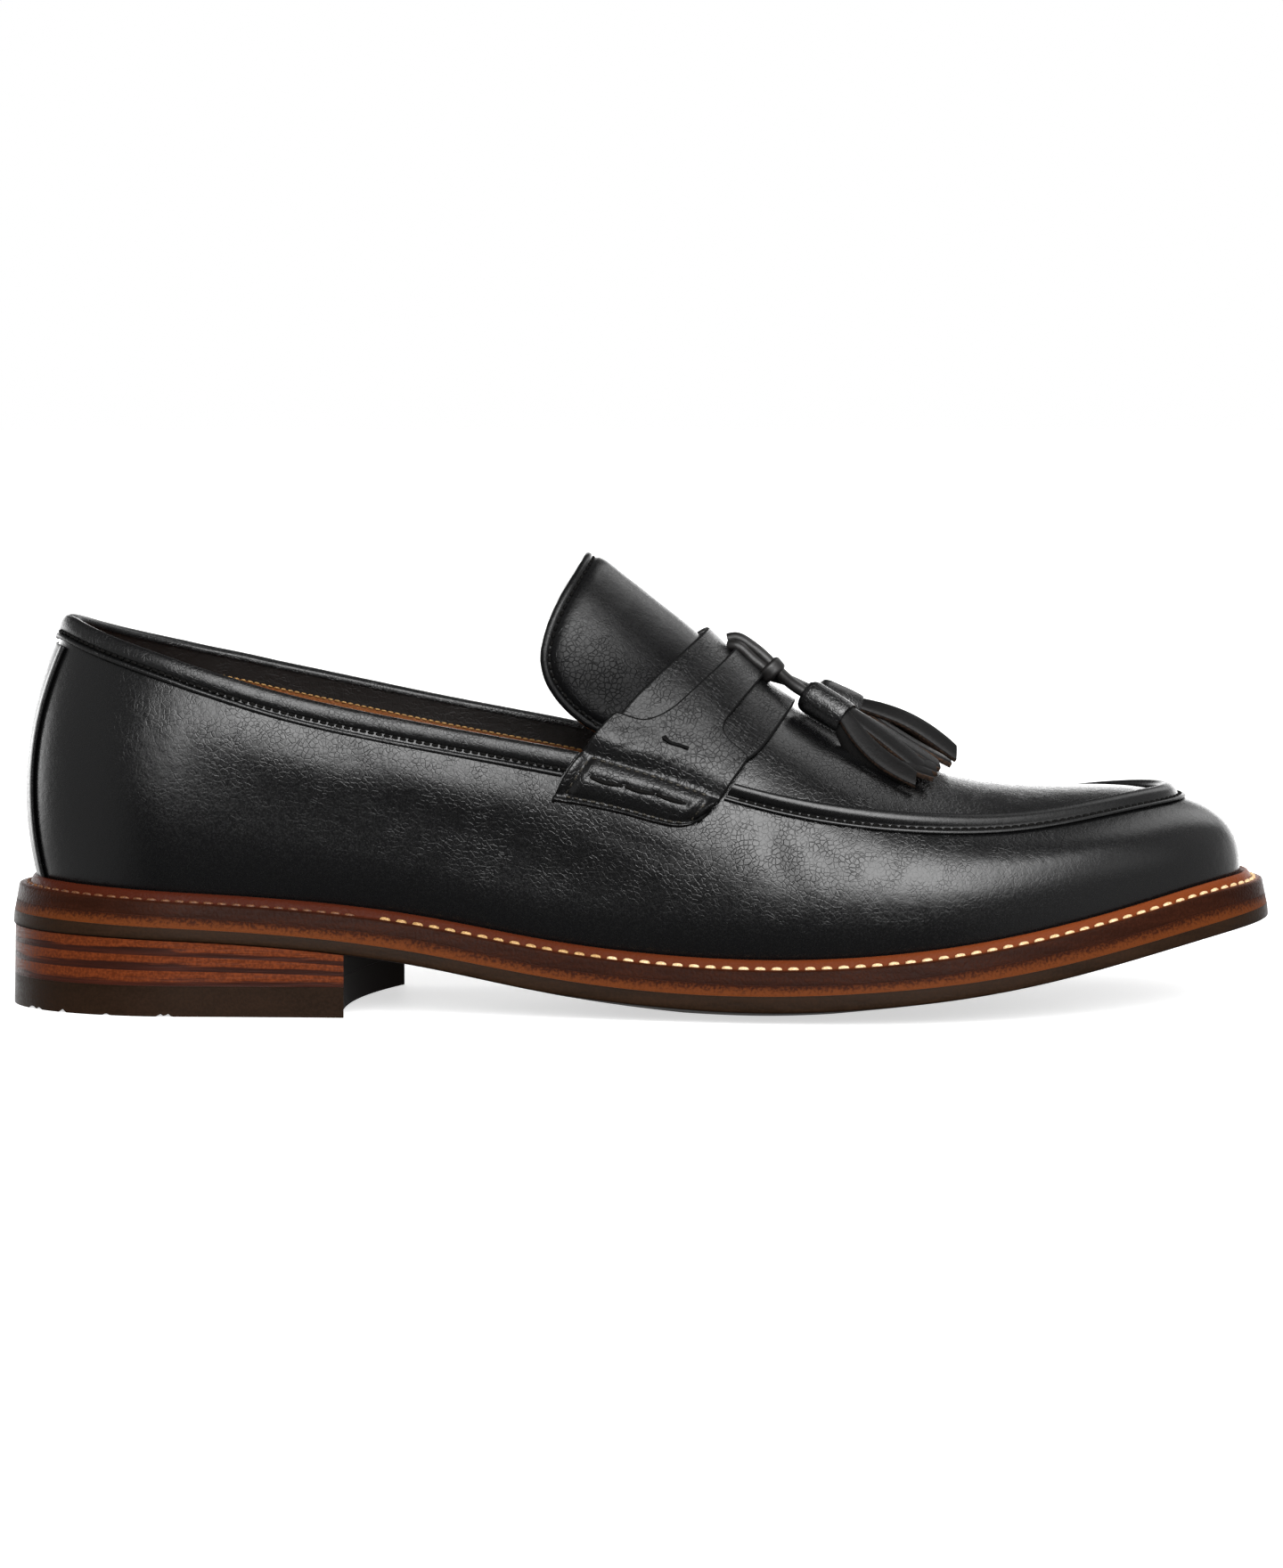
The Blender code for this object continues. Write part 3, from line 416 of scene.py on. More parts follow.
add_layer(
    "midsole_strip", MIDSOLE_EDGE, lambda x, y: outsole_top(x) + LIFT_SEAM + 0 * y,
    lambda x, y: midsole_top(x) + 0 * y,
    midsole_board, "midsole_brown", "midsole")

# Welt: a strip of leather sewn round the shoe. Its edge is stained dark, its top is left tan towards
# the toe, and a raised bead stands against the upper beside a row of stitches: brown round the heel, tan
# in the waist and cream from there on.
WELT = table(
    "inset rise",
    (0.3, -1.6), (0.42, -0.7), (0.62, -0.25), (1.05, -0.02), (1.8, 0.05), (2.4, -0.08), (2.75, -0.35),
    (3.05, -0.25), (3.3, 0.35), (3.65, 1.25), (4.1, 1.9), (4.55, 2.12), (5.0, 1.9), (5.35, 1.2), (5.6, 0.25),
    (6.2, 0.0), (19.0, 0.0),
)
WELT_TAN = table("inset share", (0.8, 0), (1.5, 1))
WELT_FOOT = table("inset share", (19.0, 0.0), (-0.12, 0.0), (0.0, 0.2), (0.14, 0.4))
STITCH_INSET, STITCH_RISE = 2.6, 0.05
TAN_START, CREAM_START = -64.0, -8.0
BALL_ROWS, BALL_COLUMNS, BALL_POWER = 7, 8, 0.75
FRONT_STITCH = 3.95, 2.6, 1.15, 1.25
HEEL_STITCH = 3.4, 2.4, 1.0, 0.9


def welt_sections(shares, side):
    """Closed sections of the welt: its shaped top, then its underside and its edge from below."""
    x, y = outline(shares[:, None], side, WELT["inset"])
    top = points(x, y, welt_top(x) + WELT["rise"])
    x, y = outline(shares[:, None], side, WELT_FOOT["inset"])
    low = midsole_top(x) + LIFT_SEAM
    return np.concatenate([top, points(x, y, low + (welt_top(x) - low) * WELT_FOOT["share"])], 1)


ring_shares = np.linspace(0, 1, STATIONS + 1)
welt_ring = np.concatenate([welt_sections(ring_shares[:-1], OUTER), welt_sections(ring_shares[:0:-1], INNER)])
welt_index = closed(closed(numbered(welt_ring.shape), 0), 1)
welt_tan = np.concatenate([
    np.interp(WELT["inset"], WELT_TAN["inset"], WELT_TAN["share"]), np.zeros(len(WELT_FOOT["inset"]))])
welt_stain, welt_tree, welt_shader = new_material("welt_stain", 0.36, specular=0.05)
welt_grain = put_node(welt_tree, "Group", {"Layers": 380.0}, node_tree=fibre)
welt_share = own_value(welt_tree, "tan")
welt_place = put_node(welt_tree, "TexCoord").outputs["Object"]
welt_along = put_node(welt_tree, "SeparateXYZ", {0: welt_place}).outputs["X"]
welt_toe = ranged(welt_tree, welt_along, -0.10, 0.15)
welt_top_tan = blended(welt_tree, welt_toe, (0.050, 0.0090, 0.0034, 1), (0.162, 0.036, 0.0090, 1))
welt_worn = blended(
    welt_tree, welt_grain.outputs["Speck"], (0.023, 0.0062, 0.0026, 1), (0.034, 0.0092, 0.0038, 1))
welt_edge = blended(welt_tree, welt_grain.outputs["Streak"], (0.017, 0.0046, 0.0019, 1), welt_worn)
welt_tree.links.new(blended(welt_tree, welt_share, welt_edge, welt_top_tan), welt_shader.inputs["Base Color"])
welt_rough = ranged(welt_tree, welt_grain.outputs["Speck"], 0.0, 1.0, 0.36, 0.52, "LINEAR")
welt_tree.links.new(welt_rough, welt_shader.inputs["Roughness"])
add_relief(welt_tree, welt_shader, 0.05, welt_grain.outputs["Speck"])
add_piece(
    "welt_strip", welt_ring, grid_faces(welt_index), [welt_stain], "welt_dark", ["welt"],
    values={"tan": np.broadcast_to(welt_tan, welt_ring.shape[:2])})


def unit(v):
    """Vectors of length one."""
    return v / np.maximum(np.linalg.norm(v, axis=-1, keepdims=True), 1e-9)


def stitches(path, normals, pitch, length, width, height):
    """Row of stitches: a small ball is stretched along the path at every pitch, its poles on the path.
    A named stitch gives pitch, length, width and height."""
    reach = np.concatenate([[0], np.cumsum(np.linalg.norm(np.diff(path, axis=0), axis=1))])
    middle = (np.arange(int(reach[-1] / pitch)) + 0.5) * pitch

    def along(rows, at):
        return np.stack([np.interp(at, reach, rows[:, k]) for k in range(3)], -1)

    ahead = unit(along(path, middle + pitch / 4) - along(path, middle - pitch / 4))
    side = unit(np.cross(ahead, along(normals, middle)))
    over = np.cross(side, ahead)
    polar = np.linspace(0, np.pi, BALL_ROWS)[:, None]
    turn = np.linspace(0, 2 * np.pi, BALL_COLUMNS, endpoint=False)
    girth = np.sin(polar) ** BALL_POWER / 2
    ball = (
        (np.cos(polar) / 2 + 0 * turn) * length, girth * np.cos(turn) * width,
        girth * np.sin(turn) * height,
    )
    axes = ahead, side, over
    stretched = sum(part[None, ..., None] * axis[:, None, None] for part, axis in zip(ball, axes))
    verts = along(path, middle)[:, None, None] + stretched
    index = closed(numbered((BALL_ROWS, BALL_COLUMNS)), 1)
    starts = np.arange(len(middle)) * BALL_ROWS * BALL_COLUMNS
    return verts.reshape(-1, 3), (grid_faces(index)[None] + starts[:, None, None]).reshape(-1, 4)


def joined(*shapes):
    """Several grids as one: points after each other, vertex numbers moved on."""
    starts = np.cumsum([0] + [len(verts) for verts, _ in shapes])
    verts = np.concatenate([verts for verts, _ in shapes])
    return verts, [[k + start for k in face] for (_, faces), start in zip(shapes, starts) for face in faces]


def thread_material(name, dark, light, roughness, specular=0.4):
    """Twisted waxed thread: fine noise moves its colour and relief."""
    material, tree, shader = new_material(name, roughness, specular=specular)
    place = put_node(tree, "TexCoord").outputs["Object"]
    twist = put_node(tree, "TexNoise", {"Vector": place, "Scale": 2600.0, "Detail": 2.0}).outputs[0]
    share = ranged(tree, twist, 0.3, 0.7)
    tree.links.new(blended(tree, share, dark, light), shader.inputs["Base Color"])
    add_relief(tree, shader, 0.06, twist)
    return material


def upright(path):
    """Normals that point up at every point of a path."""
    return np.broadcast_to([0.0, 0.0, 1.0], path.shape)


stitch_side = np.concatenate([np.full(STATIONS, OUTER), np.full(STATIONS + 1, INNER)])
stitch_share = np.concatenate([ring_shares[:-1], ring_shares[::-1]])
x, y = outline(stitch_share, stitch_side, STITCH_INSET)
stitch_line = points(x, y, welt_top(x) + STITCH_RISE)
cream_thread = thread_material("cream_thread", (0.620, 0.390, 0.170, 1), (0.880, 0.680, 0.420, 1), 0.55)
tan_thread = thread_material("tan_thread", (0.330, 0.170, 0.050, 1), (0.620, 0.400, 0.170, 1), 0.55)
front_line = stitch_line[stitch_line[:, 0] > TAN_START]
front_verts, front_faces = stitches(front_line, upright(front_line), *FRONT_STITCH)
front_tones = front_verts[front_faces[:, 0], 0] < CREAM_START
add_piece("welt_stitches", front_verts, front_faces, [cream_thread, tan_thread], tones=front_tones)
brown_thread = thread_material("brown_thread", (0.055, 0.015, 0.005, 1), (0.180, 0.070, 0.022, 1), 0.5)
heel_line = np.concatenate([stitch_line[STATIONS:], stitch_line[:STATIONS]])
heel_line = heel_line[heel_line[:, 0] < TAN_START]
add_piece("heel_stitches", *stitches(heel_line, upright(heel_line), *HEEL_STITCH), [brown_thread])

# Insole: a thin sock of brown leather on a board. It lies on the welt's inner shelf, inside the upper, and
# closes the shoe from below.
GAP = 0.3
INSOLE_THICKNESS = 2.6
FINISHED_PORES = 0.3
UPPER_WALL = 1.8
WELT_REACH = 6.0
INSOLE_EDGE = table("inset level", (20, 0), (8.6, 0), (8.4, 0.3), (8.4, 0.8), (8.8, 1), (11, 1.05), (20, 1.0))


def feather(x):
    """Height where the upper stands on the welt."""
    return welt_top(x) + GAP


# Grain of the leather: flat plates under a millimetre wide between fine creases, pores, and a slow swell
SWELL = 1.2
hide, hide_in, hide_out = new_group(
    "hide_grain", {"Plates": 800.0, "Crease": 1.0, "Pores": 0.4}, ("Height", "Gloss"))
hide_place = put_node(hide, "TexCoord").outputs["Object"]
hide_stir = put_node(hide, "TexNoise", {"Vector": hide_place, "Scale": 260.0, "Detail": 2.0}).outputs["Color"]
hide_moved = put_node(hide, "VectorMath", {0: hide_stir, 1: (0.5, 0.5, 0.5)}, operation="SUBTRACT").outputs[0]
hide_moved = put_node(hide, "VectorMath", {0: hide_moved, "Scale": 0.0016}, operation="SCALE").outputs[0]
hide_moved = put_node(hide, "VectorMath", {0: hide_place, 1: hide_moved}).outputs[0]
hide_plates = put_node(
    hide, "TexVoronoi", {"Vector": hide_moved, "Scale": hide_in.outputs["Plates"]},
    feature="DISTANCE_TO_EDGE")
hide_flat = ranged(hide, hide_plates.outputs["Distance"], 0.0, 0.12)
hide_fine = put_node(hide, "TexNoise", {"Vector": hide_place, "Scale": 1900.0, "Detail": 3.0}).outputs[0]
hide_broad = put_node(hide, "TexNoise", {"Vector": hide_place, "Scale": 190.0, "Detail": 2.0}).outputs[0]
hide_patch = ranged(hide, hide_broad, 0.35, 0.65, 0.35, 1.0)
hide_crease = product_of(hide, hide_in.outputs["Crease"], hide_patch, hide_flat)
hide_pores = product_of(hide, hide_in.outputs["Pores"], hide_fine)
hide_slow = put_node(hide, "TexNoise", {"Vector": hide_place, "Scale": 430.0, "Detail": 2.0}).outputs[0]
hide_swell = product_of(hide, hide_slow, SWELL)
hide_whole = sum_of(hide, hide_crease, hide_pores, hide_swell)
hide.links.new(hide_whole, hide_out.inputs["Height"])
hide.links.new(ranged(hide, hide_fine, 0.3, 0.7), hide_out.inputs["Gloss"])


def leather(
        name, colour, roughness, crease, plates=800.0, depth=0.05, specular=0.5, flex=False, dull=None):
    """Finished leather: even colour, with gloss and relief from the grain. With flex, the piece's own
    flex value says how strongly the plates are creased. With dull, its polish value moves the specular
    level from dull to full."""
    material, tree, shader = new_material(name, roughness, specular=specular)
    shader.inputs["Base Color"].default_value = colour
    strength = product_of(tree, own_value(tree, "flex"), crease) if flex else crease
    own_grain = {"Plates": plates, "Pores": FINISHED_PORES, "Crease": strength}
    grain = put_node(tree, "Group", own_grain, node_tree=hide)
    if dull is not None:
        sheen = ranged(tree, own_value(tree, "polish"), 0.0, 1.0, dull, specular)
        tree.links.new(sheen, shader.inputs["Specular IOR Level"])
    rough = ranged(tree, grain.outputs["Gloss"], 0.0, 1.0, roughness - 0.05, roughness + 0.07, "LINEAR")
    tree.links.new(rough, shader.inputs["Roughness"])
    add_relief(tree, shader, depth, grain.outputs["Height"])
    return material


sock_leather = leather("sock_leather", (0.120, 0.042, 0.012, 1), 0.5, 0.5)
add_layer(
    "insole_sock", INSOLE_EDGE, lambda x, y: feather(x) + 0 * y,
    lambda x, y: feather(x) + INSOLE_THICKNESS + 0 * y,
    sock_leather, "insole_leather", "insole")

# Upper: black calf pulled over the last and closed by a lining, with a round apron set in at the toe.
# The leather is smooth over heel and toe and softly creased where the foot bends.
NOSE_LENGTH, NOSE_POWER = 46.0, 2.75
HEEL_LEAN, HEEL_LEAN_SPAN = 7.2, 35.0
HEEL_LEAN_START, HEEL_LEAN_BLEND = -95.0, 50.0
SIDE_COLUMNS, THROAT_COLUMN = 238, 126
WALL_ROWS, APRON_COLUMNS = 56, 64
LEAN_FADE = 0.17
INSTEP_SLOPE = math.radians(34.0)
CAST_REACH, CAST_HALVINGS, SLOPE_STEP = 3.0, 34, 0.05
APRON_ARCH, APRON_DEPTH = 1.6, 20.0
CREASE_END, CREASE_FADE, CALM_FLEX = 0.02, 0.7, 0.12
FACING_DEPTH, FACING_EDGE = 7.0, 0.2
LAST = table(
    "x inset rise ridge power",
    (-152, 3.0, 23.0, 116, 2.0), (-110, 3.2, 20.0, 114, 2.0), (-80, 3.4, 16.5, 113, 2.0),
    (-50, 3.6, 14.0, 113, 2.0), (-30, 3.8, 13.0, 112.5, 2.0), (-14, 4.0, 12.5, 110.6, 1.95),
    (0, 4.0, 12.0, 101.4, 1.9), (14, 4.0, 11.7, 91.3, 1.92), (22, 4.0, 11.5, 83.8, 1.95),
    (30, 4.1, 11.2, 77.0, 2.0), (40, 4.2, 11.0, 70.4, 2.1), (60, 4.4, 10.0, 60.4, 2.3),
    (80, 4.8, 9.0, 54.4, 2.45), (100, 5.2, 8.0, 52.5, 2.5), (125, 5.7, 6.0, 52.8, 2.4),
    (146, 6.0, 3.0, 52.0, 2.2),
)
SEAM = table(
    "share x outer_y outer_z inner_y inner_z",
    (0.0, -139.0, 2.4, 93.6, 2.4, 93.6), (0.1, -131.5, -11.0, 91.4, 16.0, 91.8),
    (0.2, -112.0, -22.3, 84.8, 26.5, 86.6), (0.3, -83.0, -26.6, 75.9, 28.8, 80.5),
    (0.4, -45.0, -30.5, 68.4, 28.5, 74.5), (0.5, 0.0, -37.0, 60.0, 31.0, 64.5),
    (0.6, 43.0, -41.0, 49.6, 37.0, 49.8), (0.7, 80.0, -34.8, 46.0, 37.2, 46.0),
    (0.8, 105.5, -22.5, 47.5, 30.3, 47.3), (0.9, 122.3, -7.0, 48.8, 17.0, 48.6),
    (1.0, 128.0, 5.3, 49.9, 5.3, 49.9),
)
CORE = table("x height", (-105, 28), (0, 22), (95, 9))
widest_inset = spline(LAST["x"], LAST["inset"])
widest_rise = spline(LAST["x"], LAST["rise"])
ridge_line = spline(LAST["x"], LAST["ridge"])
arch_power = spline(LAST["x"], LAST["power"])
seam_x = spline(SEAM["share"], SEAM["x"])
seam_y = {OUTER: spline(SEAM["share"], SEAM["outer_y"]), INNER: spline(SEAM["share"], SEAM["inner_y"])}
seam_z = {OUTER: spline(SEAM["share"], SEAM["outer_z"]), INNER: spline(SEAM["share"], SEAM["inner_z"])}


def last_field(p):
    """Positive inside the last: squared half width of the slice at p, less the squared offset. Above
    its widest line the slice is a superellipse up to the ridge, below it tucks in to the welt."""
    x, y, z = p[..., 0], p[..., 1], p[..., 2]
    low, side_inset = feather(x), widest_inset(x)
    widest = low + widest_rise(x)
    nose = np.clip((x - HALF_LENGTH + WELT_REACH) / NOSE_LENGTH + 1, 0, 1)
    height = np.maximum((ridge_line(x) - widest) * (1 - nose ** NOSE_POWER) ** (1 / NOSE_POWER), WELD)
    below = np.clip((widest - z) / (widest - low), 0, 1.5)
    above = np.clip((z - widest) / height, 0, None)
    back = np.clip((HEEL_LEAN_START - x) / HEEL_LEAN_BLEND, 0, 1)
    lean = HEEL_LEAN * back * back * (3 - 2 * back) * np.clip((z - widest) / HEEL_LEAN_SPAN, 0, 2) ** 2
    inset = side_inset + (WELT_REACH - side_inset) * below ** 2 + lean
    return half_width(x, inset) ** 2 * (1 - above ** arch_power(x)) - (y - centre(x)) ** 2


def cast(start, aim):
    """Point of the last's surface on the ray from an inner point through aim, found by halving."""
    near, far = np.zeros(aim.shape[:-1]), np.full(aim.shape[:-1], CAST_REACH)
    for _ in range(CAST_HALVINGS):
        middle = (near + far) / 2
        inside = last_field(start + (aim - start) * middle[..., None]) > 0
        near, far = np.where(inside, middle, near), np.where(inside, far, middle)
    return start + (aim - start) * near[..., None]


def normal_at(p):
    """Outward normal of the last: minus the slope of its field."""
    steps = SLOPE_STEP * np.eye(3)
    slope = [last_field(p + step) - last_field(p - step) for step in steps]
    return unit(-np.stack(slope, -1))


def lifted(p, lift):
    """Points moved off the last's surface along its normal."""
    return p + normal_at(p) * np.asarray(lift)[..., None]


def core_point(share):
    """Inner point that the ribs of the wall are cast from."""
    x = np.clip(seam_x(share), CORE["x"][0], CORE["x"][-1])
    return points(x, centre(x), feather(x) + np.interp(x, CORE["x"], CORE["height"]))


def seam_point(share, side):
    """Point on the topline or apron seam, on the last's surface."""
    aim = points(seam_x(share), seam_y[side](share), seam_z[side](share))
    return cast(core_point(share), aim)


def foot_point(share, side):
    """Point where the wall meets the welt."""
    x, y = outline(share, side, WELT_REACH)
    return points(x, y, feather(x))


def wall_point(share, side, up):
    """Point on the wall: up runs from 0 at the welt to 1 at the topline or apron seam."""
    foot = foot_point(share, side)
    aim = foot + np.asarray(up)[..., None] * (seam_point(share, side) - foot)
    return cast(core_point(share), aim)


def rib_length(share, side):
    """Straight length of the wall's rib from the welt to the seam."""
    return np.linalg.norm(seam_point(share, side) - foot_point(share, side), axis=-1)


side_shares = np.linspace(0, 1, SIDE_COLUMNS + 1)
throat_share = side_shares[THROAT_COLUMN]


def apron_sheet(shares, columns):
    """Rows across the apron from the outer to the inner seam, each an arch cast on to the last."""
    lean = (INSTEP_SLOPE * np.clip(1 - (shares - throat_share) / LEAN_FADE, 0, 1))[:, None]
    rise = points(np.sin(lean), 0 * lean, np.cos(lean))
    first, last = seam_point(shares, OUTER)[:, None], seam_point(shares, INNER)[:, None]
    m = np.linspace(0, 1, columns + 1)[None, :, None]
    arch = APRON_ARCH * np.linalg.norm(last - first, axis=-1)[..., None] * m * (1 - m)
    sheet = cast((first + last) / 2 - APRON_DEPTH * rise, first + m * (last - first) + arch * rise)
    sheet[:, :1], sheet[:, -1:] = first, last
    return sheet


# Soft creases and swells of the wall, from one share and height to another
CREASES = table(
    "side share up to_share to_up depth width",
    (OUTER, 0.135, 0.93, 0.205, 0.12, -0.30, 7.0), (INNER, 0.135, 0.93, 0.200, 0.12, -0.30, 7.0),
    (OUTER, 0.400, 0.60, 0.515, 0.42, 0.75, 13.0), (INNER, 0.390, 0.62, 0.515, 0.44, 0.85, 13.0),
    (OUTER, 0.190, 0.74, 0.540, 0.62, -1.60, 11.0), (INNER, 0.190, 0.74, 0.540, 0.62, -1.60, 11.0),
    (OUTER, 0.558, 0.97, 0.580, 0.48, 0.30, 2.6), (INNER, 0.556, 0.97, 0.582, 0.46, 0.32, 2.6),
    (OUTER, 0.588, 0.95, 0.604, 0.52, 0.24, 2.4), (INNER, 0.590, 0.95, 0.606, 0.54, 0.26, 2.6),
    (OUTER, 0.616, 0.94, 0.630, 0.60, 0.18, 2.2), (INNER, 0.620, 0.94, 0.632, 0.58, 0.18, 2.2),
    (OUTER, 0.455, 0.70, 0.530, 0.52, 0.20, 3.2), (INNER, 0.450, 0.72, 0.530, 0.56, 0.22, 3.2),
    (OUTER, 0.285, 0.82, 0.375, 0.70, 0.22, 4.5), (INNER, 0.280, 0.84, 0.370, 0.70, 0.22, 4.5),
    (OUTER, 0.330, 0.60, 0.440, 0.52, 0.26, 5.0), (INNER, 0.320, 0.62, 0.440, 0.50, 0.26, 5.0),
)
FLEX = table(
    "x z reach_x reach_z strength",
    (-62, 72, 60, 17, 0.85), (34, 44, 40, 17, 0.85), (-18, 46, 44, 18, 0.5), (70, 46, 30, 16, 0.35),
)
crease_ends = [
    [wall_point(np.array(CREASES[share][k]), int(CREASES["side"][k]), np.array(CREASES[up][k]))
     for share, up in (("share", "up"), ("to_share", "to_up"))]
    for k in range(len(CREASES["side"]))
]


def crease_lift(p):
    """Lift of the leather: each crease is a bell across its line that fades out at both ends."""
    lift = np.zeros(p.shape[:-1])
    for (first, last), depth, width in zip(crease_ends, CREASES["depth"], CREASES["width"]):
        run = last - first
        t = np.clip((p - first) @ run / (run @ run), 0, 1)
        away = np.linalg.norm(p - first - t[..., None] * run, axis=-1)
        fade = np.sin(np.pi * np.clip(t, CREASE_END, 1 - CREASE_END)) ** CREASE_FADE
        lift -= depth * np.exp(-(away / width) ** 2) * fade
    return lift


def flex_at(p):
    """How strongly the grain is creased: the sum of soft spots seen from the side."""
    spots = [
        s * np.exp(-((p[..., 0] - x) / a) ** 2 - ((p[..., 2] - z) / b) ** 2)
        for x, z, a, b, s in zip(*(FLEX[k] for k in ("x", "z", "reach_x", "reach_z", "strength")))
    ]
    return np.clip(CALM_FLEX + sum(spots), 0, 1)


ups = np.linspace(0, 1, WALL_ROWS + 1)
wall = np.concatenate([
    wall_point(side_shares[:-1, None], OUTER, ups[None]),
    wall_point(side_shares[:0:-1, None], INNER, ups[None]),
])
apron = apron_sheet(side_shares[THROAT_COLUMN:], APRON_COLUMNS)
upper_sheets = [lifted(sheet, crease_lift(sheet)) for sheet in (wall, apron)]
upper_sheets += [lifted(sheet, np.full(sheet.shape[:2], -UPPER_WALL)) for sheet in (wall, apron)]
upper_verts = np.concatenate([sheet.reshape(-1, 3) for sheet in upper_sheets])
upper_starts = np.cumsum([0] + [sheet.shape[0] * sheet.shape[1] for sheet in upper_sheets])
upper_index = [numbered(sheet.shape) + start for sheet, start in zip(upper_sheets, upper_starts)]
wall_out, wall_in = closed(upper_index[0], 0), closed(upper_index[2], 0)
apron_out, apron_in = upper_index[1], upper_index[3]
outer_top, inner_top = slice(0, THROAT_COLUMN + 1), slice(-THROAT_COLUMN - 1, None)
upper_skin = [grid_faces(wall_out), grid_faces(apron_out)]
upper_rims = [
    grid_faces(np.stack([wall_out[:, 0], wall_in[:, 0]])),
    grid_faces(np.stack([wall_out[outer_top, -1], wall_in[outer_top, -1]])),
    grid_faces(np.stack([wall_out[inner_top, -1], wall_in[inner_top, -1]])),
    grid_faces(np.stack([apron_out[0], apron_in[0]])),
]
upper_lining = [grid_faces(wall_in), grid_faces(apron_in)]
upper_faces = np.concatenate(upper_skin + upper_rims + upper_lining)
upper_tones = np.repeat([0, 0, 1], [sum(map(len, part)) for part in (upper_skin, upper_rims, upper_lining)])
side_ribs = np.concatenate([rib_length(side_shares[:-1], OUTER), rib_length(side_shares[:0:-1], INNER)])
wall_down = (1 - ups) * side_ribs[:, None]
apron_down = np.full(apron.shape[:2], 2 * FACING_DEPTH)
upper_down = np.concatenate([a.reshape(-1) for a in (wall_down, apron_down, wall_down, apron_down)])

BLACK = (0.0028, 0.0028, 0.0030, 1)
upper_calf = leather("upper_calf", BLACK, 0.23, 0.85, plates=860.0, depth=0.055, flex=True)
lining_kid, lining_tree, lining_shader = new_material("lining_kid", 0.5)
lining_shader.inputs["Coat Weight"].default_value = 0.1
lining_shader.inputs["Coat Roughness"].default_value = 0.2
lining_grain = put_node(lining_tree, "Group", {"Crease": 0.5}, node_tree=hide)
lining_down = own_value(lining_tree, "down")
lining_brown = blended(
    lining_tree, lining_grain.outputs["Gloss"], (0.150, 0.046, 0.010, 1), (0.220, 0.072, 0.016, 1))
lining_share = ranged(
    lining_tree, lining_down, FACING_DEPTH, FACING_DEPTH + FACING_EDGE, 0.0, 1.0, "LINEAR")
lining_colour = blended(lining_tree, lining_share, (0.004, 0.0026, 0.002, 1), lining_brown)
lining_tree.links.new(lining_colour, lining_shader.inputs["Base Color"])
add_relief(lining_tree, lining_shader, 0.08, lining_grain.outputs["Height"])
add_piece(
    "upper_shell", upper_verts, upper_faces, [upper_calf, lining_kid], "black_leather", ["upper"],
    tones=upper_tones, values={"flex": flex_at(upper_verts), "down": upper_down})

# Collar binding: a strip of black calf folded over the topline and sewn down. A piped edge stands out
# below its stitch row; inside, gold stitches end the black facing above the brown lining.
BINDING_END = {OUTER: 0.4675, INNER: 0.4710}
BINDING_SLANT = 0.0013
BINDING_COLUMNS = 190
BINDING_ROW = table("above lift", (-5.0, 0.85))
LINING_ROW = table("above lift", (-FACING_DEPTH, -UPPER_WALL - 0.15))
BINDING_ROW_TRIM = np.array([-0.006])
BINDING_STITCH = 1.95, 1.7, 0.85, 0.6
LINING_STITCH = 1.7, 1.35, 0.5, 0.4
BINDING = table(
    "above lift",
    (-7.0, 0.3), (-7.05, 0.8), (-6.85, 1.3), (-6.4, 1.5), (-5.95, 1.35), (-5.65, 0.8), (-5.4, 0.4),
    (-5.0, 0.35), (-4.65, 0.8), (-4.2, 1.2), (-3.2, 1.45), (-2.0, 1.45), (-0.9, 1.3), (-0.2, 1.0),
    (0.25, 0.5), (0.4, -0.3), (0.4, -1.1), (0.25, -1.75), (-0.2, -2.1), (-1.2, -2.15), (-1.2, -1.85),
    (0.1, -1.82), (0.12, -0.9), (0.1, 0.15), (-0.4, 0.3), (-3.0, 0.3),
)


def wall_band(profile, side, first, last, columns):
    """Sections of a strip on the wall: each row of the profile runs from its first to its last share,
    at its distance above the seam along the ribs, and is lifted off the wall."""
    shares = first + (last - first) * np.linspace(0, 1, columns + 1)[:, None]
    base = wall_point(shares, side, 1 + profile["above"] / rib_length(shares, side))
    return lifted(base, np.broadcast_to(profile["lift"], base.shape[:-1]))


def heel_band(profile, trim, columns):
    """Strip from the outer side round the heel to the inner side, trimmed at the binding's ends."""
    halves = [
        wall_band(profile, side, 0 * trim, BINDING_END[side] + trim, columns) for side in (OUTER, INNER)]
    return np.concatenate([halves[0][::-1], halves[1][1:]])


def tube(sections):
    """Closed solid through a row of closed sections, with flat ends."""
    index = numbered(sections.shape)
    faces = grid_faces(closed(index, 1)).tolist()
    return sections.reshape(-1, 3), faces + [index[0].tolist(), index[-1].tolist()]


binding_calf = leather("binding_calf", BLACK, 0.30, 0.7, plates=1000.0)
binding_sections = heel_band(BINDING, BINDING_SLANT * BINDING["above"], BINDING_COLUMNS)
add_piece("binding_strip", *tube(binding_sections), [binding_calf], "black_leather", ["collar_binding"])
matt_thread = thread_material("matt_thread", (0.002, 0.002, 0.002, 1), (0.007, 0.0065, 0.006, 1), 0.7, 0.06)
binding_path = heel_band(BINDING_ROW, BINDING_ROW_TRIM, BINDING_COLUMNS)[:, 0]
add_piece(
    "binding_stitches", *stitches(binding_path, normal_at(binding_path), *BINDING_STITCH), [matt_thread])
gold_thread = thread_material("gold_thread", (0.170, 0.080, 0.018, 1), (0.360, 0.200, 0.055, 1), 0.5)
lining_path = heel_band(LINING_ROW, np.zeros(1), BINDING_COLUMNS)[:, 0]
add_piece(
    "lining_stitches", *stitches(lining_path, normal_at(lining_path), *LINING_STITCH), [gold_thread])

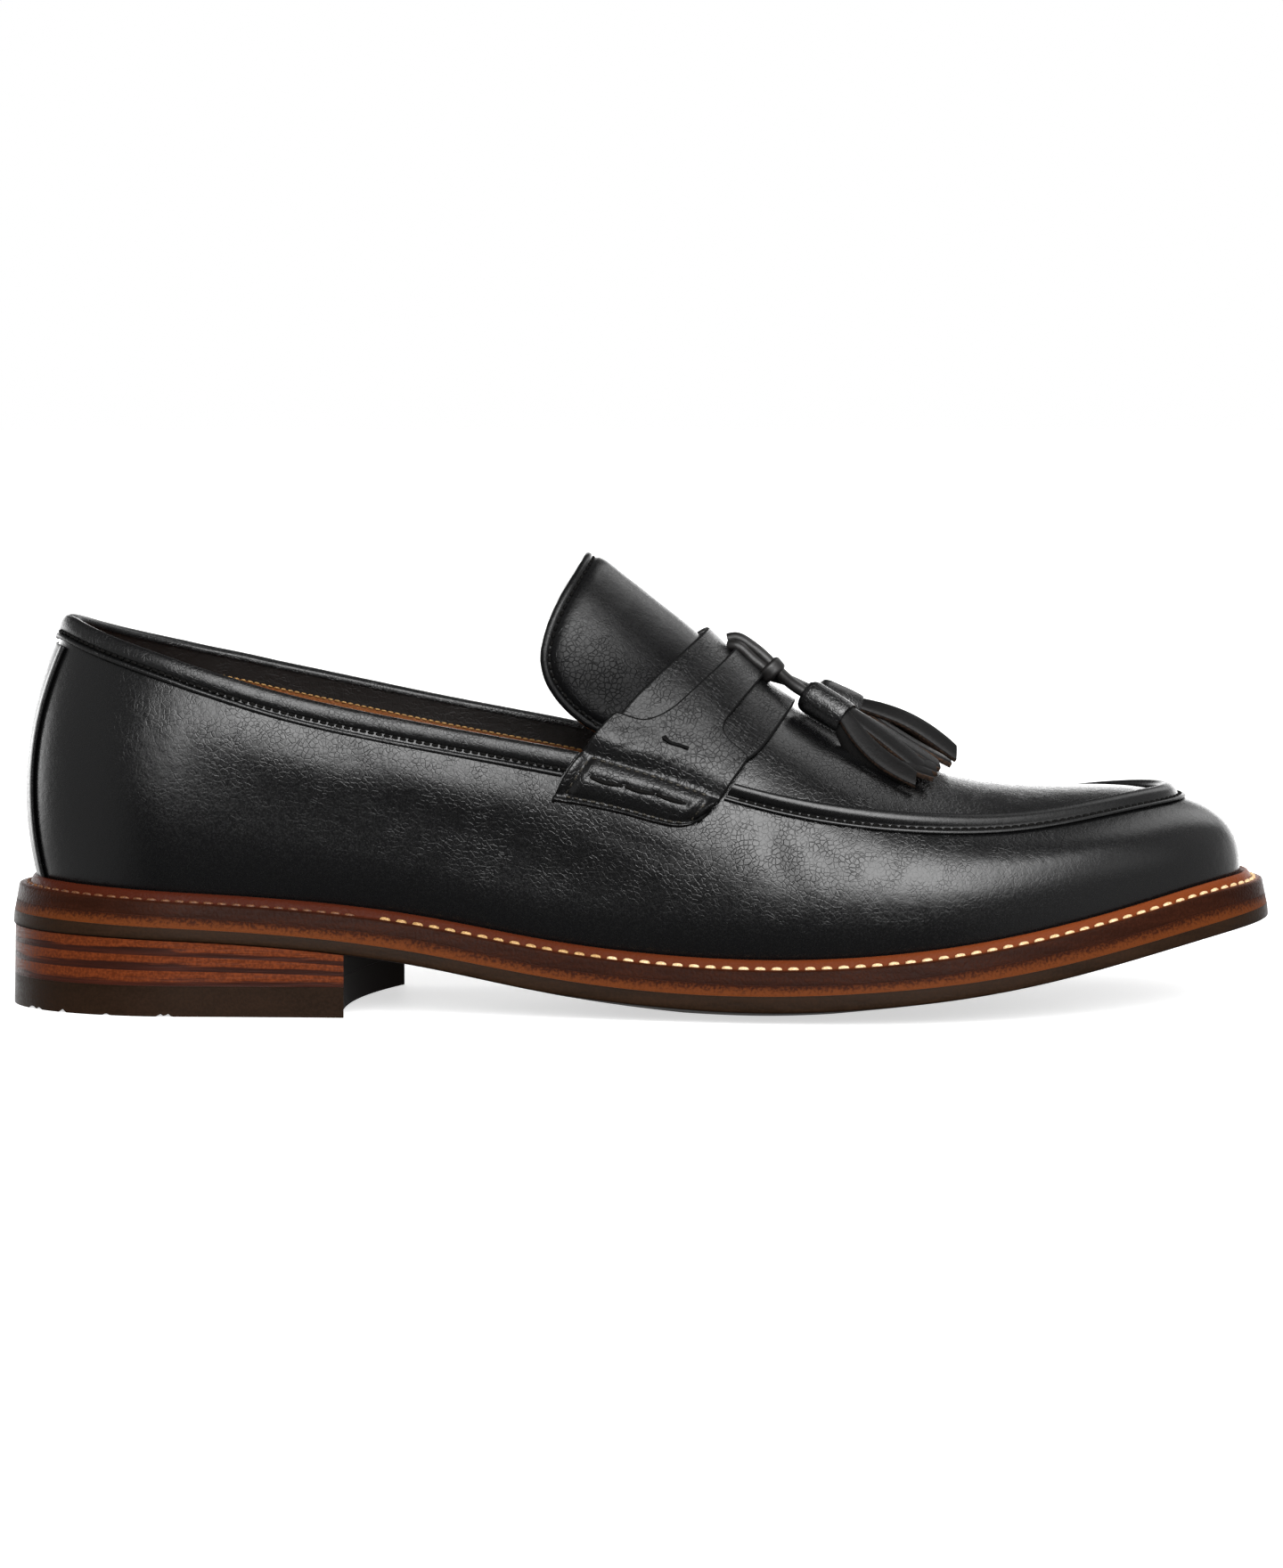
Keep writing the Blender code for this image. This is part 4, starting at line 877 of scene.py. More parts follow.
# Backstay: a narrow piece of black calf over the seam at the back of the heel, from the welt up to the
# binding. It lies flat, and its edges are turned in, so they stand a little higher.
BACKSTAY_SHARE = 2 / 34
BACKSTAY_LOW, BACKSTAY_HIGH = 0.02, 0.87
BACKSTAY_COLUMNS, BACKSTAY_ROWS, BACKSTAY_EDGE = 25, 70, 0.25
BACKSTAY = table("turn lift", (0, 0.85), (0.8, 0.9), (0.9, 1.15), (1, 1.05))
stay_share = BACKSTAY_SHARE * np.linspace(0, 1, BACKSTAY_COLUMNS)[:, None]
stay_up = np.linspace(BACKSTAY_LOW, BACKSTAY_HIGH, BACKSTAY_ROWS)[None]
stay_halves = [wall_point(stay_share, side, stay_up) for side in (OUTER, INNER)]
stay_sheet = np.concatenate([stay_halves[0][::-1], stay_halves[1][1:]])
stay_turn = np.abs(np.linspace(-1, 1, stay_sheet.shape[0]))[:, None] + 0 * stay_up
stay_lift = np.interp(stay_turn, BACKSTAY["turn"], BACKSTAY["lift"])
stay_calf = leather("stay_calf", BLACK, 0.27, 0.12)
stay_slab = slab(lifted(stay_sheet, GAP + 0 * stay_lift), lifted(stay_sheet, stay_lift))
add_piece("backstay_calf", *stay_slab, [stay_calf], "black_leather", ["backstay"], edge=BACKSTAY_EDGE)

# Apron rim: the wall's leather folded up into a rounded lip round the apron, with one sunken row of
# stitches below it
RIM_START = 0.5475
RIM_COLUMNS = 150
RIM_ROW = table("above lift", (-1.75, 0.7))
RIM_ROW_TRIM = 0.004
RIM_STITCH = 2.15, 1.8, 0.85, 0.6
RIM = table(
    "above lift",
    (-2.8, 0.3), (-2.9, 0.6), (-2.7, 0.85), (-2.35, 0.9), (-2.0, 0.7), (-1.7, 0.45), (-1.35, 0.5),
    (-1.05, 1.0), (-0.6, 1.75), (0.2, 2.2), (0.9, 2.35), (1.4, 2.3), (1.8, 1.95), (2.05, 1.4), (2.1, 0.6),
    (1.8, 0.25), (0.5, 0.3), (-1.2, 0.3),
)


def toe_band(profile, first, columns):
    """Strip from the outer side round the toe to the inner side."""
    halves = [wall_band(profile, side, first, 1.0, columns) for side in (OUTER, INNER)]
    return np.concatenate([halves[0], halves[1][-2::-1]])


rim_calf = leather("rim_calf", BLACK, 0.28, 0.25, depth=0.03)
rim_sections = toe_band(RIM, RIM_START + BINDING_SLANT * RIM["above"], RIM_COLUMNS)
add_piece("rim_lip", *tube(rim_sections), [rim_calf], "black_leather", ["apron_rim"])
rim_path = toe_band(RIM_ROW, np.array([RIM_START + RIM_ROW_TRIM]), RIM_COLUMNS)[:, 0]
add_piece("rim_stitches", *stitches(rim_path, normal_at(rim_path), *RIM_STITCH), [matt_thread])

# Tongue: a padded flap of soft calf, backed with brown leather. Its edge is turned and held by a row
# of stitches, beside which the padding swells; below, the leather is finely creased.
TONGUE_END_X, TONGUE_END_Z = -13.6, 109.8
INSTEP_DEPTH, INSTEP_MIDDLE_Y = 48.0, -3.6
DOWN_RIDGE = np.array([math.cos(INSTEP_SLOPE), 0, -math.sin(INSTEP_SLOPE)])
OFF_RIDGE = np.array([math.sin(INSTEP_SLOPE), 0, math.cos(INSTEP_SLOPE)])
INSTEP_START = np.array([TONGUE_END_X, INSTEP_MIDDLE_Y, TONGUE_END_Z]) - INSTEP_DEPTH * OFF_RIDGE
TONGUE = table(
    "angle end",
    (26.4, 22.6), (27.6, 17.9), (30.9, 12.4), (35.5, 8.2), (42.9, 4.5),
    (48.3, 3.0), (57.3, 1.3), (66.0, 0.5), (74.3, 0.3), (90.0, 0.2),
)
TONGUE_EDGE = table("along angle", (23, 26.4), (34, 27.0), (42, 32.0), (56, 42.0))
TONGUE_FRONT = 56.0
TONGUE_THICKNESS = 2.2
TONGUE_TUCK = table(
    "along lift", (0, -0.3), (16, -0.4), (24, -1.0), (32, -1.3), (41, -1.4), (48, -3.0), (60, -3.0),
)
TONGUE_RIM = table(
    "away lift",
    (0.0, -0.75), (0.3, -0.35), (0.8, -0.12), (1.4, -0.12), (1.85, -0.5), (2.25, -0.8), (2.75, -0.45),
    (3.6, 0.05), (5.5, 0.3), (9.0, 0.15), (15.0, 0.0), (60.0, 0.0),
)
TONGUE_COLUMNS, TONGUE_ROWS, TONGUE_ROW_POWER = 141, 90, 1.35
TONGUE_ROW_IN, TONGUE_ROW_LIFT, TONGUE_ROW_TRIM = 2.25, -0.98, 4
TONGUE_STITCH = 2.0, 1.45, 0.8, 0.7
BORDER_ROWS, BORDER_POINTS = 30, 1200
CREASED_ANGLE, CREASED_SPAN, CREASED_PEAK, CREASED_LEAST = 40.0, 22.0, 1.25, 0.18
CALM_EDGE, CALM_LEAST = 6.0, 0.4
POLISH_START, POLISH_SPAN = 78.0, 24.0
INSTEP_AIM = 40.0


def instep_point(along, angle):
    """Point on the last: along runs down the ridge from the tongue's end, and the angle turns round a
    line inside the foot from 0 at the outer side over 90 at the ridge."""
    start = INSTEP_START + np.asarray(along)[..., None] * DOWN_RIDGE
    turn = np.radians(angle)[..., None]
    across = np.array([0, 1, 0]) * -np.cos(turn) + OFF_RIDGE * np.sin(turn)
    return cast(start, start + INSTEP_AIM * across)


def eased(xs, ys):
    """Cubic that runs through all rows without overshoot: slopes are harmonic means, or nil at turns."""
    step, tilt = np.diff(xs), np.diff(ys) / np.diff(xs)
    same = tilt[:-1] * tilt[1:] > 0
    mean = 2 * tilt[:-1] * tilt[1:] / np.where(same, tilt[:-1] + tilt[1:], 1)
    slope = np.concatenate([tilt[:1], np.where(same, mean, 0), tilt[-1:]])

    def value(x):
        x = np.clip(x, xs[0], xs[-1])
        i = np.clip(np.searchsorted(xs, x) - 1, 0, len(step) - 1)
        t = (x - xs[i]) / step[i]
        bend = (1 - t) * slope[i] - t * slope[i + 1] + (2 * t - 1) * tilt[i]
        return ys[i] + (ys[i + 1] - ys[i]) * t + step[i] * t * (1 - t) * bend

    return value


tongue_turn = np.cos(np.pi * np.linspace(0, 1, TONGUE_COLUMNS))
tongue_fold = 90 - (90 - TONGUE["angle"][0]) * np.abs(tongue_turn)
tongue_end = eased(TONGUE["angle"], TONGUE["end"])(tongue_fold)
tongue_rows = (np.linspace(0, 1, TONGUE_ROWS) ** TONGUE_ROW_POWER)[:, None]
tongue_along = tongue_end + (TONGUE_FRONT - tongue_end) * tongue_rows
tongue_edge = np.interp(tongue_along[:, :1], TONGUE_EDGE["along"], TONGUE_EDGE["angle"])
tongue_angle = 90 - (90 - tongue_edge) * tongue_turn
tongue_sheet = instep_point(tongue_along, tongue_angle)
tongue_border = np.concatenate([tongue_sheet[::-1, 0], tongue_sheet[0, 1:-1], tongue_sheet[:, -1]])
border_at = np.linspace(0, len(tongue_border) - 1, BORDER_POINTS)
border_axes = [np.interp(border_at, np.arange(len(tongue_border)), axis) for axis in tongue_border.T]
tongue_away = np.sqrt(np.min(sum(
    (tongue_sheet[..., None, k] - border_axes[k]) ** 2 for k in range(3)), -1))
tongue_tuck = np.interp(tongue_along, TONGUE_TUCK["along"], TONGUE_TUCK["lift"])
tongue_top = tongue_tuck + eased(TONGUE_RIM["away"], TONGUE_RIM["lift"])(tongue_away)
tongue_verts, tongue_faces = slab(
    lifted(tongue_sheet, tongue_tuck - TONGUE_THICKNESS), lifted(tongue_sheet, tongue_top))
tongue_cells = (tongue_sheet.shape[0] - 1) * (tongue_sheet.shape[1] - 1)
tongue_tones = np.zeros(len(tongue_faces))
tongue_tones[:tongue_cells] = 1
tongue_near = np.minimum(tongue_angle, 180 - tongue_angle)
tongue_bend = CREASED_PEAK - ((tongue_near - CREASED_ANGLE) / CREASED_SPAN) ** 2
tongue_flex = np.clip(tongue_bend, CREASED_LEAST, 1) * np.clip(tongue_away / CALM_EDGE, CALM_LEAST, 1)
tongue_polish = np.clip((tongue_sheet[..., 2] - POLISH_START) / POLISH_SPAN, 0, 1)
tongue_calf = leather(
    "tongue_calf", BLACK, 0.30, 1.0, plates=820.0, depth=0.07, specular=0.42, flex=True, dull=0.06)
tongue_back = leather("tongue_back", (0.060, 0.022, 0.008, 1), 0.55, 0.4)
add_piece(
    "tongue_flap", tongue_verts, tongue_faces, [tongue_calf, tongue_back], "black_leather", ["tongue"],
    tones=tongue_tones,
    values={"flex": np.tile(tongue_flex, (2, 1)), "polish": np.tile(tongue_polish, (2, 1))})
border_away, border_sheet = tongue_away[:BORDER_ROWS], tongue_sheet[:BORDER_ROWS]
tongue_ring = np.stack([
    [np.interp(TONGUE_ROW_IN, border_away[:, k], border_sheet[:, k, axis]) for axis in range(3)]
    for k in range(TONGUE_ROW_TRIM, TONGUE_COLUMNS - TONGUE_ROW_TRIM)
])
tongue_path = lifted(tongue_ring, np.full(len(tongue_ring), TONGUE_ROW_LIFT))
add_piece("tongue_stitches", *stitches(tongue_path, normal_at(tongue_path), *TONGUE_STITCH), [matt_thread])

# Straps: two bands of black calf, a plain under strap and, over it, a band with a broad tab at each end.
# The tab's lower part is padded, piped and sewn down, with three long hand stitches across it and a short
# slit above it; a dark bar in the slit is its painted shade. The cut edges are inked, and a dark bead along
# each long edge is partly that ink and partly a painted shadow on the leather beside it.
TAB_BOTTOM = table(
    "along angle",
    (26.5, -7.5), (34, -1.2), (42, 4.2), (50, 8.5), (54, 11.2), (57, 15.5), (58.3, 21.0),
)
TAB_FOLD = table("along angle", (27, 16.0), (36, 19.7), (44, 22.7), (57, 26.0))
TAB_TOP = table("along angle", (27, 35.2), (33, 35.9), (40, 39.5), (48, 42.5), (54, 43.0), (59, 42.2))
OVER_STRAP = table(
    "place rear front low high",
    (0.0, 26.5, 57.4, 0.4, 1.0), (0.025, 26.5, 57.5, 0.4, 1.85), (0.055, 26.4, 57.6, 0.4, 2.05),
    (0.085, 26.4, 57.7, 0.4, 1.75), (0.12, 26.4, 57.8, 0.4, 1.25), (0.16, 26.3, 58.0, 0.4, 1.3),
    (0.26, 26.2, 58.2, 0.4, 2.2), (0.45, 26.0, 58.3, 0.4, 3.05), (0.62, 26.0, 58.4, 0.4, 3.3),
    (0.78, 26.0, 58.4, 0.4, 3.1), (0.92, 26.0, 58.5, 0.4, 2.45), (1.0, 26.0, 58.5, 0.4, 1.6),
    (1.04, 26.1, 58.5, 0.4, 1.35), (1.08, 26.1, 58.5, 0.4, 1.4), (1.2, 26.2, 58.6, 0.4, 2.0),
    (1.34, 26.3, 58.7, 0.4, 2.65), (1.46, 26.4, 58.7, 0.4, 2.95), (1.62, 26.6, 58.8, 1.9, 3.0),
    (2.0, 27.7, 58.9, 1.9, 3.0),
    (2.015, 33.0, 54.0, 1.9, 3.0), (2.04, 35.3, 51.9, 1.9, 3.0), (2.08, 37.0, 50.2, 1.9, 3.0),
    (2.15, 38.5, 49.5, 1.9, 3.0), (2.3, 40.0, 49.9, 1.9, 3.0), (2.5, 41.5, 50.6, 1.9, 3.0),
    (2.75, 42.6, 51.4, 1.9, 3.0), (3.0, 43.2, 52.0, 1.9, 3.0),
)
UNDER_STRAP = table(
    "place rear front low high",
    (1.75, 28.6, 58.2, 0.5, 1.5), (2.0, 28.7, 58.9, 0.5, 1.5), (2.1, 29.0, 60.0, 0.5, 1.5),
    (2.3, 30.6, 60.8, 0.5, 1.5), (2.5, 32.6, 61.2, 0.5, 1.5), (2.75, 34.4, 61.7, 0.5, 1.5),
    (3.0, 35.2, 62.0, 0.5, 1.5),
)
# Lines pressed into the band, from one place along and round the instep to another
STRAP_MARKS = table(
    "along angle to_along to_angle depth width",
    (30.8, 9.4, 38.5, 13.3, 0.35, 0.9), (38.9, 13.7, 45.7, 17.0, 0.35, 0.9),
    (46.0, 17.3, 53.2, 19.6, 0.35, 0.9), (28.1, -2.2, 28.1, 14.6, 0.9, 1.0),
    (56.0, 15.6, 56.7, 24.6, 0.8, 1.0), (41.0, 24.5, 44.0, 33.0, 0.12, 0.7),
    (43.0, 25.0, 46.8, 33.0, 0.13, 0.7), (45.2, 25.5, 48.6, 37.0, 0.14, 0.8),
    (47.4, 26.0, 50.6, 38.0, 0.15, 0.8), (49.6, 26.5, 52.4, 38.5, 0.16, 0.8),
    (51.8, 27.0, 54.0, 38.0, 0.14, 0.8), (53.8, 27.5, 55.6, 37.0, 0.13, 0.8),
    (31.0, 27.5, 37.0, 35.0, 0.18, 0.9), (29.5, 28.5, 34.0, 33.5, 0.15, 0.9),
    (33.0, 25.5, 39.0, 32.5, 0.16, 0.9),
)
HAND_STITCHES = (
    ((30.8, 32.6, 35.0, 36.9, 38.5), (9.4, 9.9, 11.0, 12.3, 13.4)),
    ((38.9, 40.5, 42.5, 44.4, 45.7), (13.7, 14.1, 15.0, 16.1, 17.1)),
    ((46.0, 47.9, 49.9, 51.7, 53.2), (17.3, 17.6, 18.3, 19.0, 19.7)),
)
TAB_SLIT = (40.1, 41.5, 43.7, 46.4), (35.7, 34.9, 35.2, 35.8)
STRAP_COLUMNS, STRAP_EDGE, LEAST_THICKNESS = 91, 0.18, 0.25
# Rows round each strap: first place, last place and how many
UNDER_ROWS = 1.75, 3, 60
OVER_ROWS = (0, 2, 96), (2, 2.15, 26), (2.15, 3, 34)
OVER_POLISH = table("place polish", (1.2, 1.0), (1.8, 0.1))
INK_SHADOW_DROP, INK_SHADOW_WIDTH = 0.45, 0.9
TAB_STITCH, TAB_STITCH_RISE, TAB_POINTS = (2.1, 1.35, 0.5, 0.5), 0.1, 80
BAR_POINTS, BAR_SIDES, INK_SHADOW_SIDES = 18, 10, 8
HAND_WIDTH, HAND_HEIGHT, HAND_LIFT = 1.6, 1.2, 2.85
HAND_END, HAND_POWER = 0.45, 0.6
SLIT_WIDTH, SLIT_HEIGHT, SLIT_LIFT = 1.6, 0.9, 3.1
SLIT_TAPER = table("at share", (0, 1.5), (0.16, 1.3), (0.3, 0.75), (0.75, 0.7), (0.9, 1.1), (1.0, 0.8))
tab_lines = [eased(line["along"], line["angle"]) for line in (TAB_BOTTOM, TAB_FOLD, TAB_TOP)]


def strap_angle(along, place):
    """Angle round the instep of a place on a strap: from the tab's lower edge (0) over its fold (1) and
    its upper edge (2) to the ridge (3)."""
    lines = [line(along) for line in tab_lines] + [np.full_like(along, 90.0)]
    whole = np.clip(np.floor(place).astype(int), 0, 2)
    low, high = np.choose(whole, lines[:3]), np.choose(whole, lines[1:])
    return low + (high - low) * (place - whole)


def mirrored(rows):
    """Rows from the outer end up to the ridge, and the same rows back down to the inner end."""
    return np.concatenate([rows, rows[-2::-1]])


def strap_sheet(profile, places):
    """Grid over a strap from the outer end over the ridge to the inner end, with its low and high lifts."""
    rear, front, low, high = (
        eased(profile["place"], profile[k])(places) for k in ("rear", "front", "low", "high"))
    along = rear[:, None] + np.linspace(0, 1, STRAP_COLUMNS) * (front - rear)[:, None]
    angle = strap_angle(along, places[:, None] + 0 * along)
    along, angle = mirrored(along), np.concatenate([angle, 180 - angle[-2::-1]])
    return instep_point(along, angle), *(mirrored(lift)[:, None] + 0 * along for lift in (low, high))


def marks_lift(p, marks):
    """Lift from pressed lines on both sides of the instep: a bell across each line, round at its ends."""
    lift = np.zeros(p.shape[:-1])
    for along, angle, to_along, to_angle, depth, width in zip(*marks.values()):
        for turn, to_turn in ((angle, to_angle), (180 - angle, 180 - to_angle)):
            first = instep_point(np.array(along), np.array(turn))
            run = instep_point(np.array(to_along), np.array(to_turn)) - first
            t = np.clip((p - first) @ run / (run @ run), 0, 1)
            away = np.linalg.norm(p - first - t[..., None] * run, axis=-1)
            lift -= depth * np.exp(-(away / width) ** 2)
    return lift


under_sheet, under_low, under_high = strap_sheet(UNDER_STRAP, np.linspace(*UNDER_ROWS))
strap_calf = leather("strap_calf", BLACK, 0.29, 0.8, plates=850.0, depth=0.07, specular=0.5, dull=0.27)
# Matt black: real ink on the cut edges, and the painted shade and shadow of the slit bar and edge beads
strap_ink_and_shade, _, ink_and_shade_shader = new_material("strap_ink_and_shade", 0.75, specular=0.12)
ink_and_shade_shader.inputs["Base Color"].default_value = (0.003, 0.003, 0.003, 1)


def strap_tones(sheet):
    """Materials of a strap's faces: calf on both sides, ink along its cut edges."""
    rows, columns = sheet.shape[:2]
    return np.repeat([0, 1], [2 * (rows - 1) * (columns - 1), 2 * (rows + columns - 2)])


under_slab = slab(lifted(under_sheet, under_low), lifted(under_sheet, under_high))
add_piece(
    "under_strap_calf", *under_slab, [strap_calf, strap_ink_and_shade], "black_leather", ["under_strap"],
    tones=strap_tones(under_sheet), edge=STRAP_EDGE)

over_places = np.unique(np.concatenate([np.linspace(*rows) for rows in OVER_ROWS]))
over_sheet, over_low, over_high = strap_sheet(OVER_STRAP, over_places)
over_high = np.maximum(over_high + marks_lift(over_sheet, STRAP_MARKS), over_low + LEAST_THICKNESS)
over_slab = slab(lifted(over_sheet, over_low), lifted(over_sheet, over_high))
over_polish = np.interp(mirrored(over_places), OVER_POLISH["place"], OVER_POLISH["polish"])
over_polish = np.tile(np.repeat(over_polish, STRAP_COLUMNS), 2)
add_piece(
    "over_strap_calf", *over_slab, [strap_calf, strap_ink_and_shade], "black_leather", ["over_strap"],
    tones=strap_tones(over_sheet), values={"polish": over_polish}, edge=STRAP_EDGE)


def strap_rows(along, place):
    """Two paths, on the outer and the inner side, that lie just above the over strap's face."""
    angle = strap_angle(along, place)
    face = eased(OVER_STRAP["place"], OVER_STRAP["high"])(place) + TAB_STITCH_RISE
    sides = [instep_point(along, turn) for turn in (angle, 180 - angle)]
    return [lifted(side, face + marks_lift(side, STRAP_MARKS)) for side in sides]


row = np.linspace(0, 1, TAB_POINTS)
tab_rows = [
    *strap_rows(28.0 + row * 27.5, 0.135 + 0 * row),
    *strap_rows(28.2 + row * 28.2, 0.99 + 0 * row),
    *strap_rows(28.1 + 0 * row, 0.17 + 0.78 * row),
    *strap_rows(55.9 + 0.8 * np.sin(np.pi / 2 * row), 0.15 + 0.78 * row),
]
tab_threads = joined(*(stitches(path, normal_at(path), *TAB_STITCH) for path in tab_rows))
# The tab's thread is black; the lighter grey in its colour paints the glints on it
glint_painted_thread = thread_material("glint_painted_thread", (0.006, 0.0055, 0.005, 1), (0.070, 0.062, 0.048, 1), 0.45, 0.2)
add_piece("tab_stitches", *tab_threads, [glint_painted_thread])


def curve_through(route, count):
    """Smooth path of evenly spaced points through a given route."""
    route = np.array(route, float)
    reach = np.concatenate([[0], np.cumsum(np.linalg.norm(np.diff(route, axis=0), axis=1))])
    at = np.linspace(0, reach[-1], count)
    return np.stack([spline(reach, route[:, k])(at) for k in range(3)], -1)


def bar(path, width, height, sides, face=(0, 0, 1.0)):
    """Solid bar of oval section along a path; width and height may change along it."""
    ahead = unit(np.gradient(path, axis=0))
    side = unit(np.cross(ahead, face))
    over = np.cross(side, ahead)
    turn = np.linspace(0, 2 * np.pi, sides, endpoint=False)[:, None]
    wide, tall = (
        np.broadcast_to(np.asarray(k, float), len(path))[:, None, None] / 2 for k in (width, height))
    return tube(path[:, None] + wide * np.cos(turn) * side[:, None] + tall * np.sin(turn) * over[:, None])


def both_sides(alongs, angles, lift):
    """Two paths, on the outer and the inner side, through places given along and round the instep."""
    turns = np.array(angles), 180 - np.array(angles)
    places = [instep_point(np.array(alongs), turn) for turn in turns]
    return [curve_through(lifted(place, np.full(len(place), lift)), BAR_POINTS) for place in places]


bar_at = np.linspace(0, 1, BAR_POINTS)
hand_taper = HAND_END + (1 - HAND_END) * np.sin(np.pi * bar_at) ** HAND_POWER
hand_routes = [route for places in HAND_STITCHES for route in both_sides(*places, HAND_LIFT)]
hand_bars = [
    bar(route, HAND_WIDTH * hand_taper, HAND_HEIGHT * hand_taper, BAR_SIDES) for route in hand_routes]
add_piece("hand_stitches", *joined(*hand_bars), [matt_thread])
# Dark bar in the tab's slit: painted shade inside the cut
slit_width = SLIT_WIDTH * np.interp(bar_at, SLIT_TAPER["at"], SLIT_TAPER["share"])
slit_shade_bars = [bar(route, slit_width, SLIT_HEIGHT, BAR_SIDES) for route in both_sides(*TAB_SLIT, SLIT_LIFT)]
add_piece("tab_slit_shade", *joined(*slit_shade_bars), [strap_ink_and_shade])
# Dark bead along each long strap edge: partly edge ink, partly painted shadow on the leather beside it
ink_and_shadow_bars = [
    bar(lifted(sheet[:, column], high[:, column] - INK_SHADOW_DROP), INK_SHADOW_WIDTH, INK_SHADOW_WIDTH, INK_SHADOW_SIDES)
    for sheet, high in ((under_sheet, under_high), (over_sheet, over_high)) for column in (0, -1)
]
add_piece("strap_edge_ink_and_shadow", *joined(*ink_and_shadow_bars), [strap_ink_and_shade])

# Lace: a round thong of black leather. It comes up behind the over strap, is gathered by a wrap of the
# same leather and parts to the two tassels.
TASSEL_NEAR_HEAD = np.array(((39.8, -12.0, 75.8), (49.2, -15.8, 70.1)))
TASSEL_FAR_HEAD = np.array(((42.6, 3.4, 74.9), (52.2, 5.2, 70.5)))
LACE_WIDTH, LACE_HEIGHT = 3.2, 2.9
LACE_END_RUN = 2.5
WRAP_WIDTH, WRAP_LENGTH = 7.0, 3.6
WRAP_ROWS, WRAP_ROUND, WRAP_POWER = 14, 0.22, 6
LACE_SIDES, WRAP_SIDES = 16, 28
WRAP_MIDDLE, WRAP_AIM = np.array((31.2, -7.4, 81.1)), np.array((0.66, 0.0, -0.75))
OVER_ROUTE = (
    (20.9, -4.6, 88.5), (22.6, -4.8, 88.8), (25.8, -5.6, 87.4), (29.4, -6.8, 84.6), (32.4, -7.6, 81.6),
)
SIDE_ROUTE = (
    (21.2, -6.8, 87.0), (22.8, -7.5, 87.0), (26.0, -8.0, 84.6), (29.2, -8.3, 81.9), (31.6, -7.9, 79.9),
)
UNDER_ROUTE = (28.4, -7.0, 81.4), (31.0, -6.8, 80.0), (33.4, -5.4, 79.2), (36.4, -2.2, 78.0)


def aim_of(head):
    """Direction from the lace end of a tassel's head to its strips."""
    return (head[1] - head[0]) / np.linalg.norm(head[1] - head[0])


def route_to(head, route):
    """Route of a thong that ends square to a tassel's head, just off it."""
    end = head[0] - GAP * aim_of(head)
    return (*route, end - LACE_END_RUN * aim_of(head), end)


lace_leather = leather("lace_leather", (0.0065, 0.0058, 0.0055, 1), 0.4, 0.4, plates=1500.0, depth=0.03)
lace_paths = (
    curve_through(route_to(TASSEL_NEAR_HEAD, OVER_ROUTE), 60), curve_through(SIDE_ROUTE, 40),
    curve_through(route_to(TASSEL_FAR_HEAD, UNDER_ROUTE), 40),
)
wrap_at = np.linspace(-0.5, 0.5, WRAP_ROWS)
wrap_girth = (1 - WRAP_ROUND * np.abs(2 * wrap_at) ** WRAP_POWER) * WRAP_WIDTH
wrap_path = WRAP_MIDDLE + np.outer(wrap_at * WRAP_LENGTH, WRAP_AIM)
lace_bars = [bar(path, LACE_WIDTH, LACE_HEIGHT, LACE_SIDES) for path in lace_paths]
lace_bars.append(bar(wrap_path, wrap_girth, wrap_girth, WRAP_SIDES))
add_piece("lace_thong", *joined(*lace_bars), [lace_leather], "black_leather", ["lace"])

# Tassels: a head of leather rolled round the lace, and strips cut from its skirt. The strips are black
# on their grain side and brown suede below and along their cut edges.
HEAD_WIDTH, HEAD_HEIGHT = 9.4, 8.8
HEAD_SWELL = table("at swell", (0, 0.84), (0.05, 0.94), (0.2, 1.0), (0.6, 1.0), (0.9, 0.98), (1.0, 0.94))
HEAD_STEP, HEAD_STEP_POWER = 0.16, 3
HEAD_ROWS, HEAD_COLUMNS, STRIP_ROWS = 30, 49, 30
STRIP_WIDTH, STRIP_THICKNESS = 4.4, 1.4
STRIP_ROOT, STRIP_SPREAD = 2.6, 2.2
STRIP_CUP, STRIP_CUT, STRIP_CUT_RUN = 0.15, 0.55, 0.4
STRIP_SECTION = table(
    "across high",
    (-0.5, 0), (-0.49, 0.4), (-0.45, 0.5), (-0.2, 0.5), (0, 0.5), (0.2, 0.5), (0.45, 0.5), (0.49, 0.4),
    (0.5, 0),
)
STRIP_TAPER = table("at share", (0.0, 0.7), (0.3, 0.98), (0.7, 1.08), (0.93, 0.98), (1.0, 0.86))
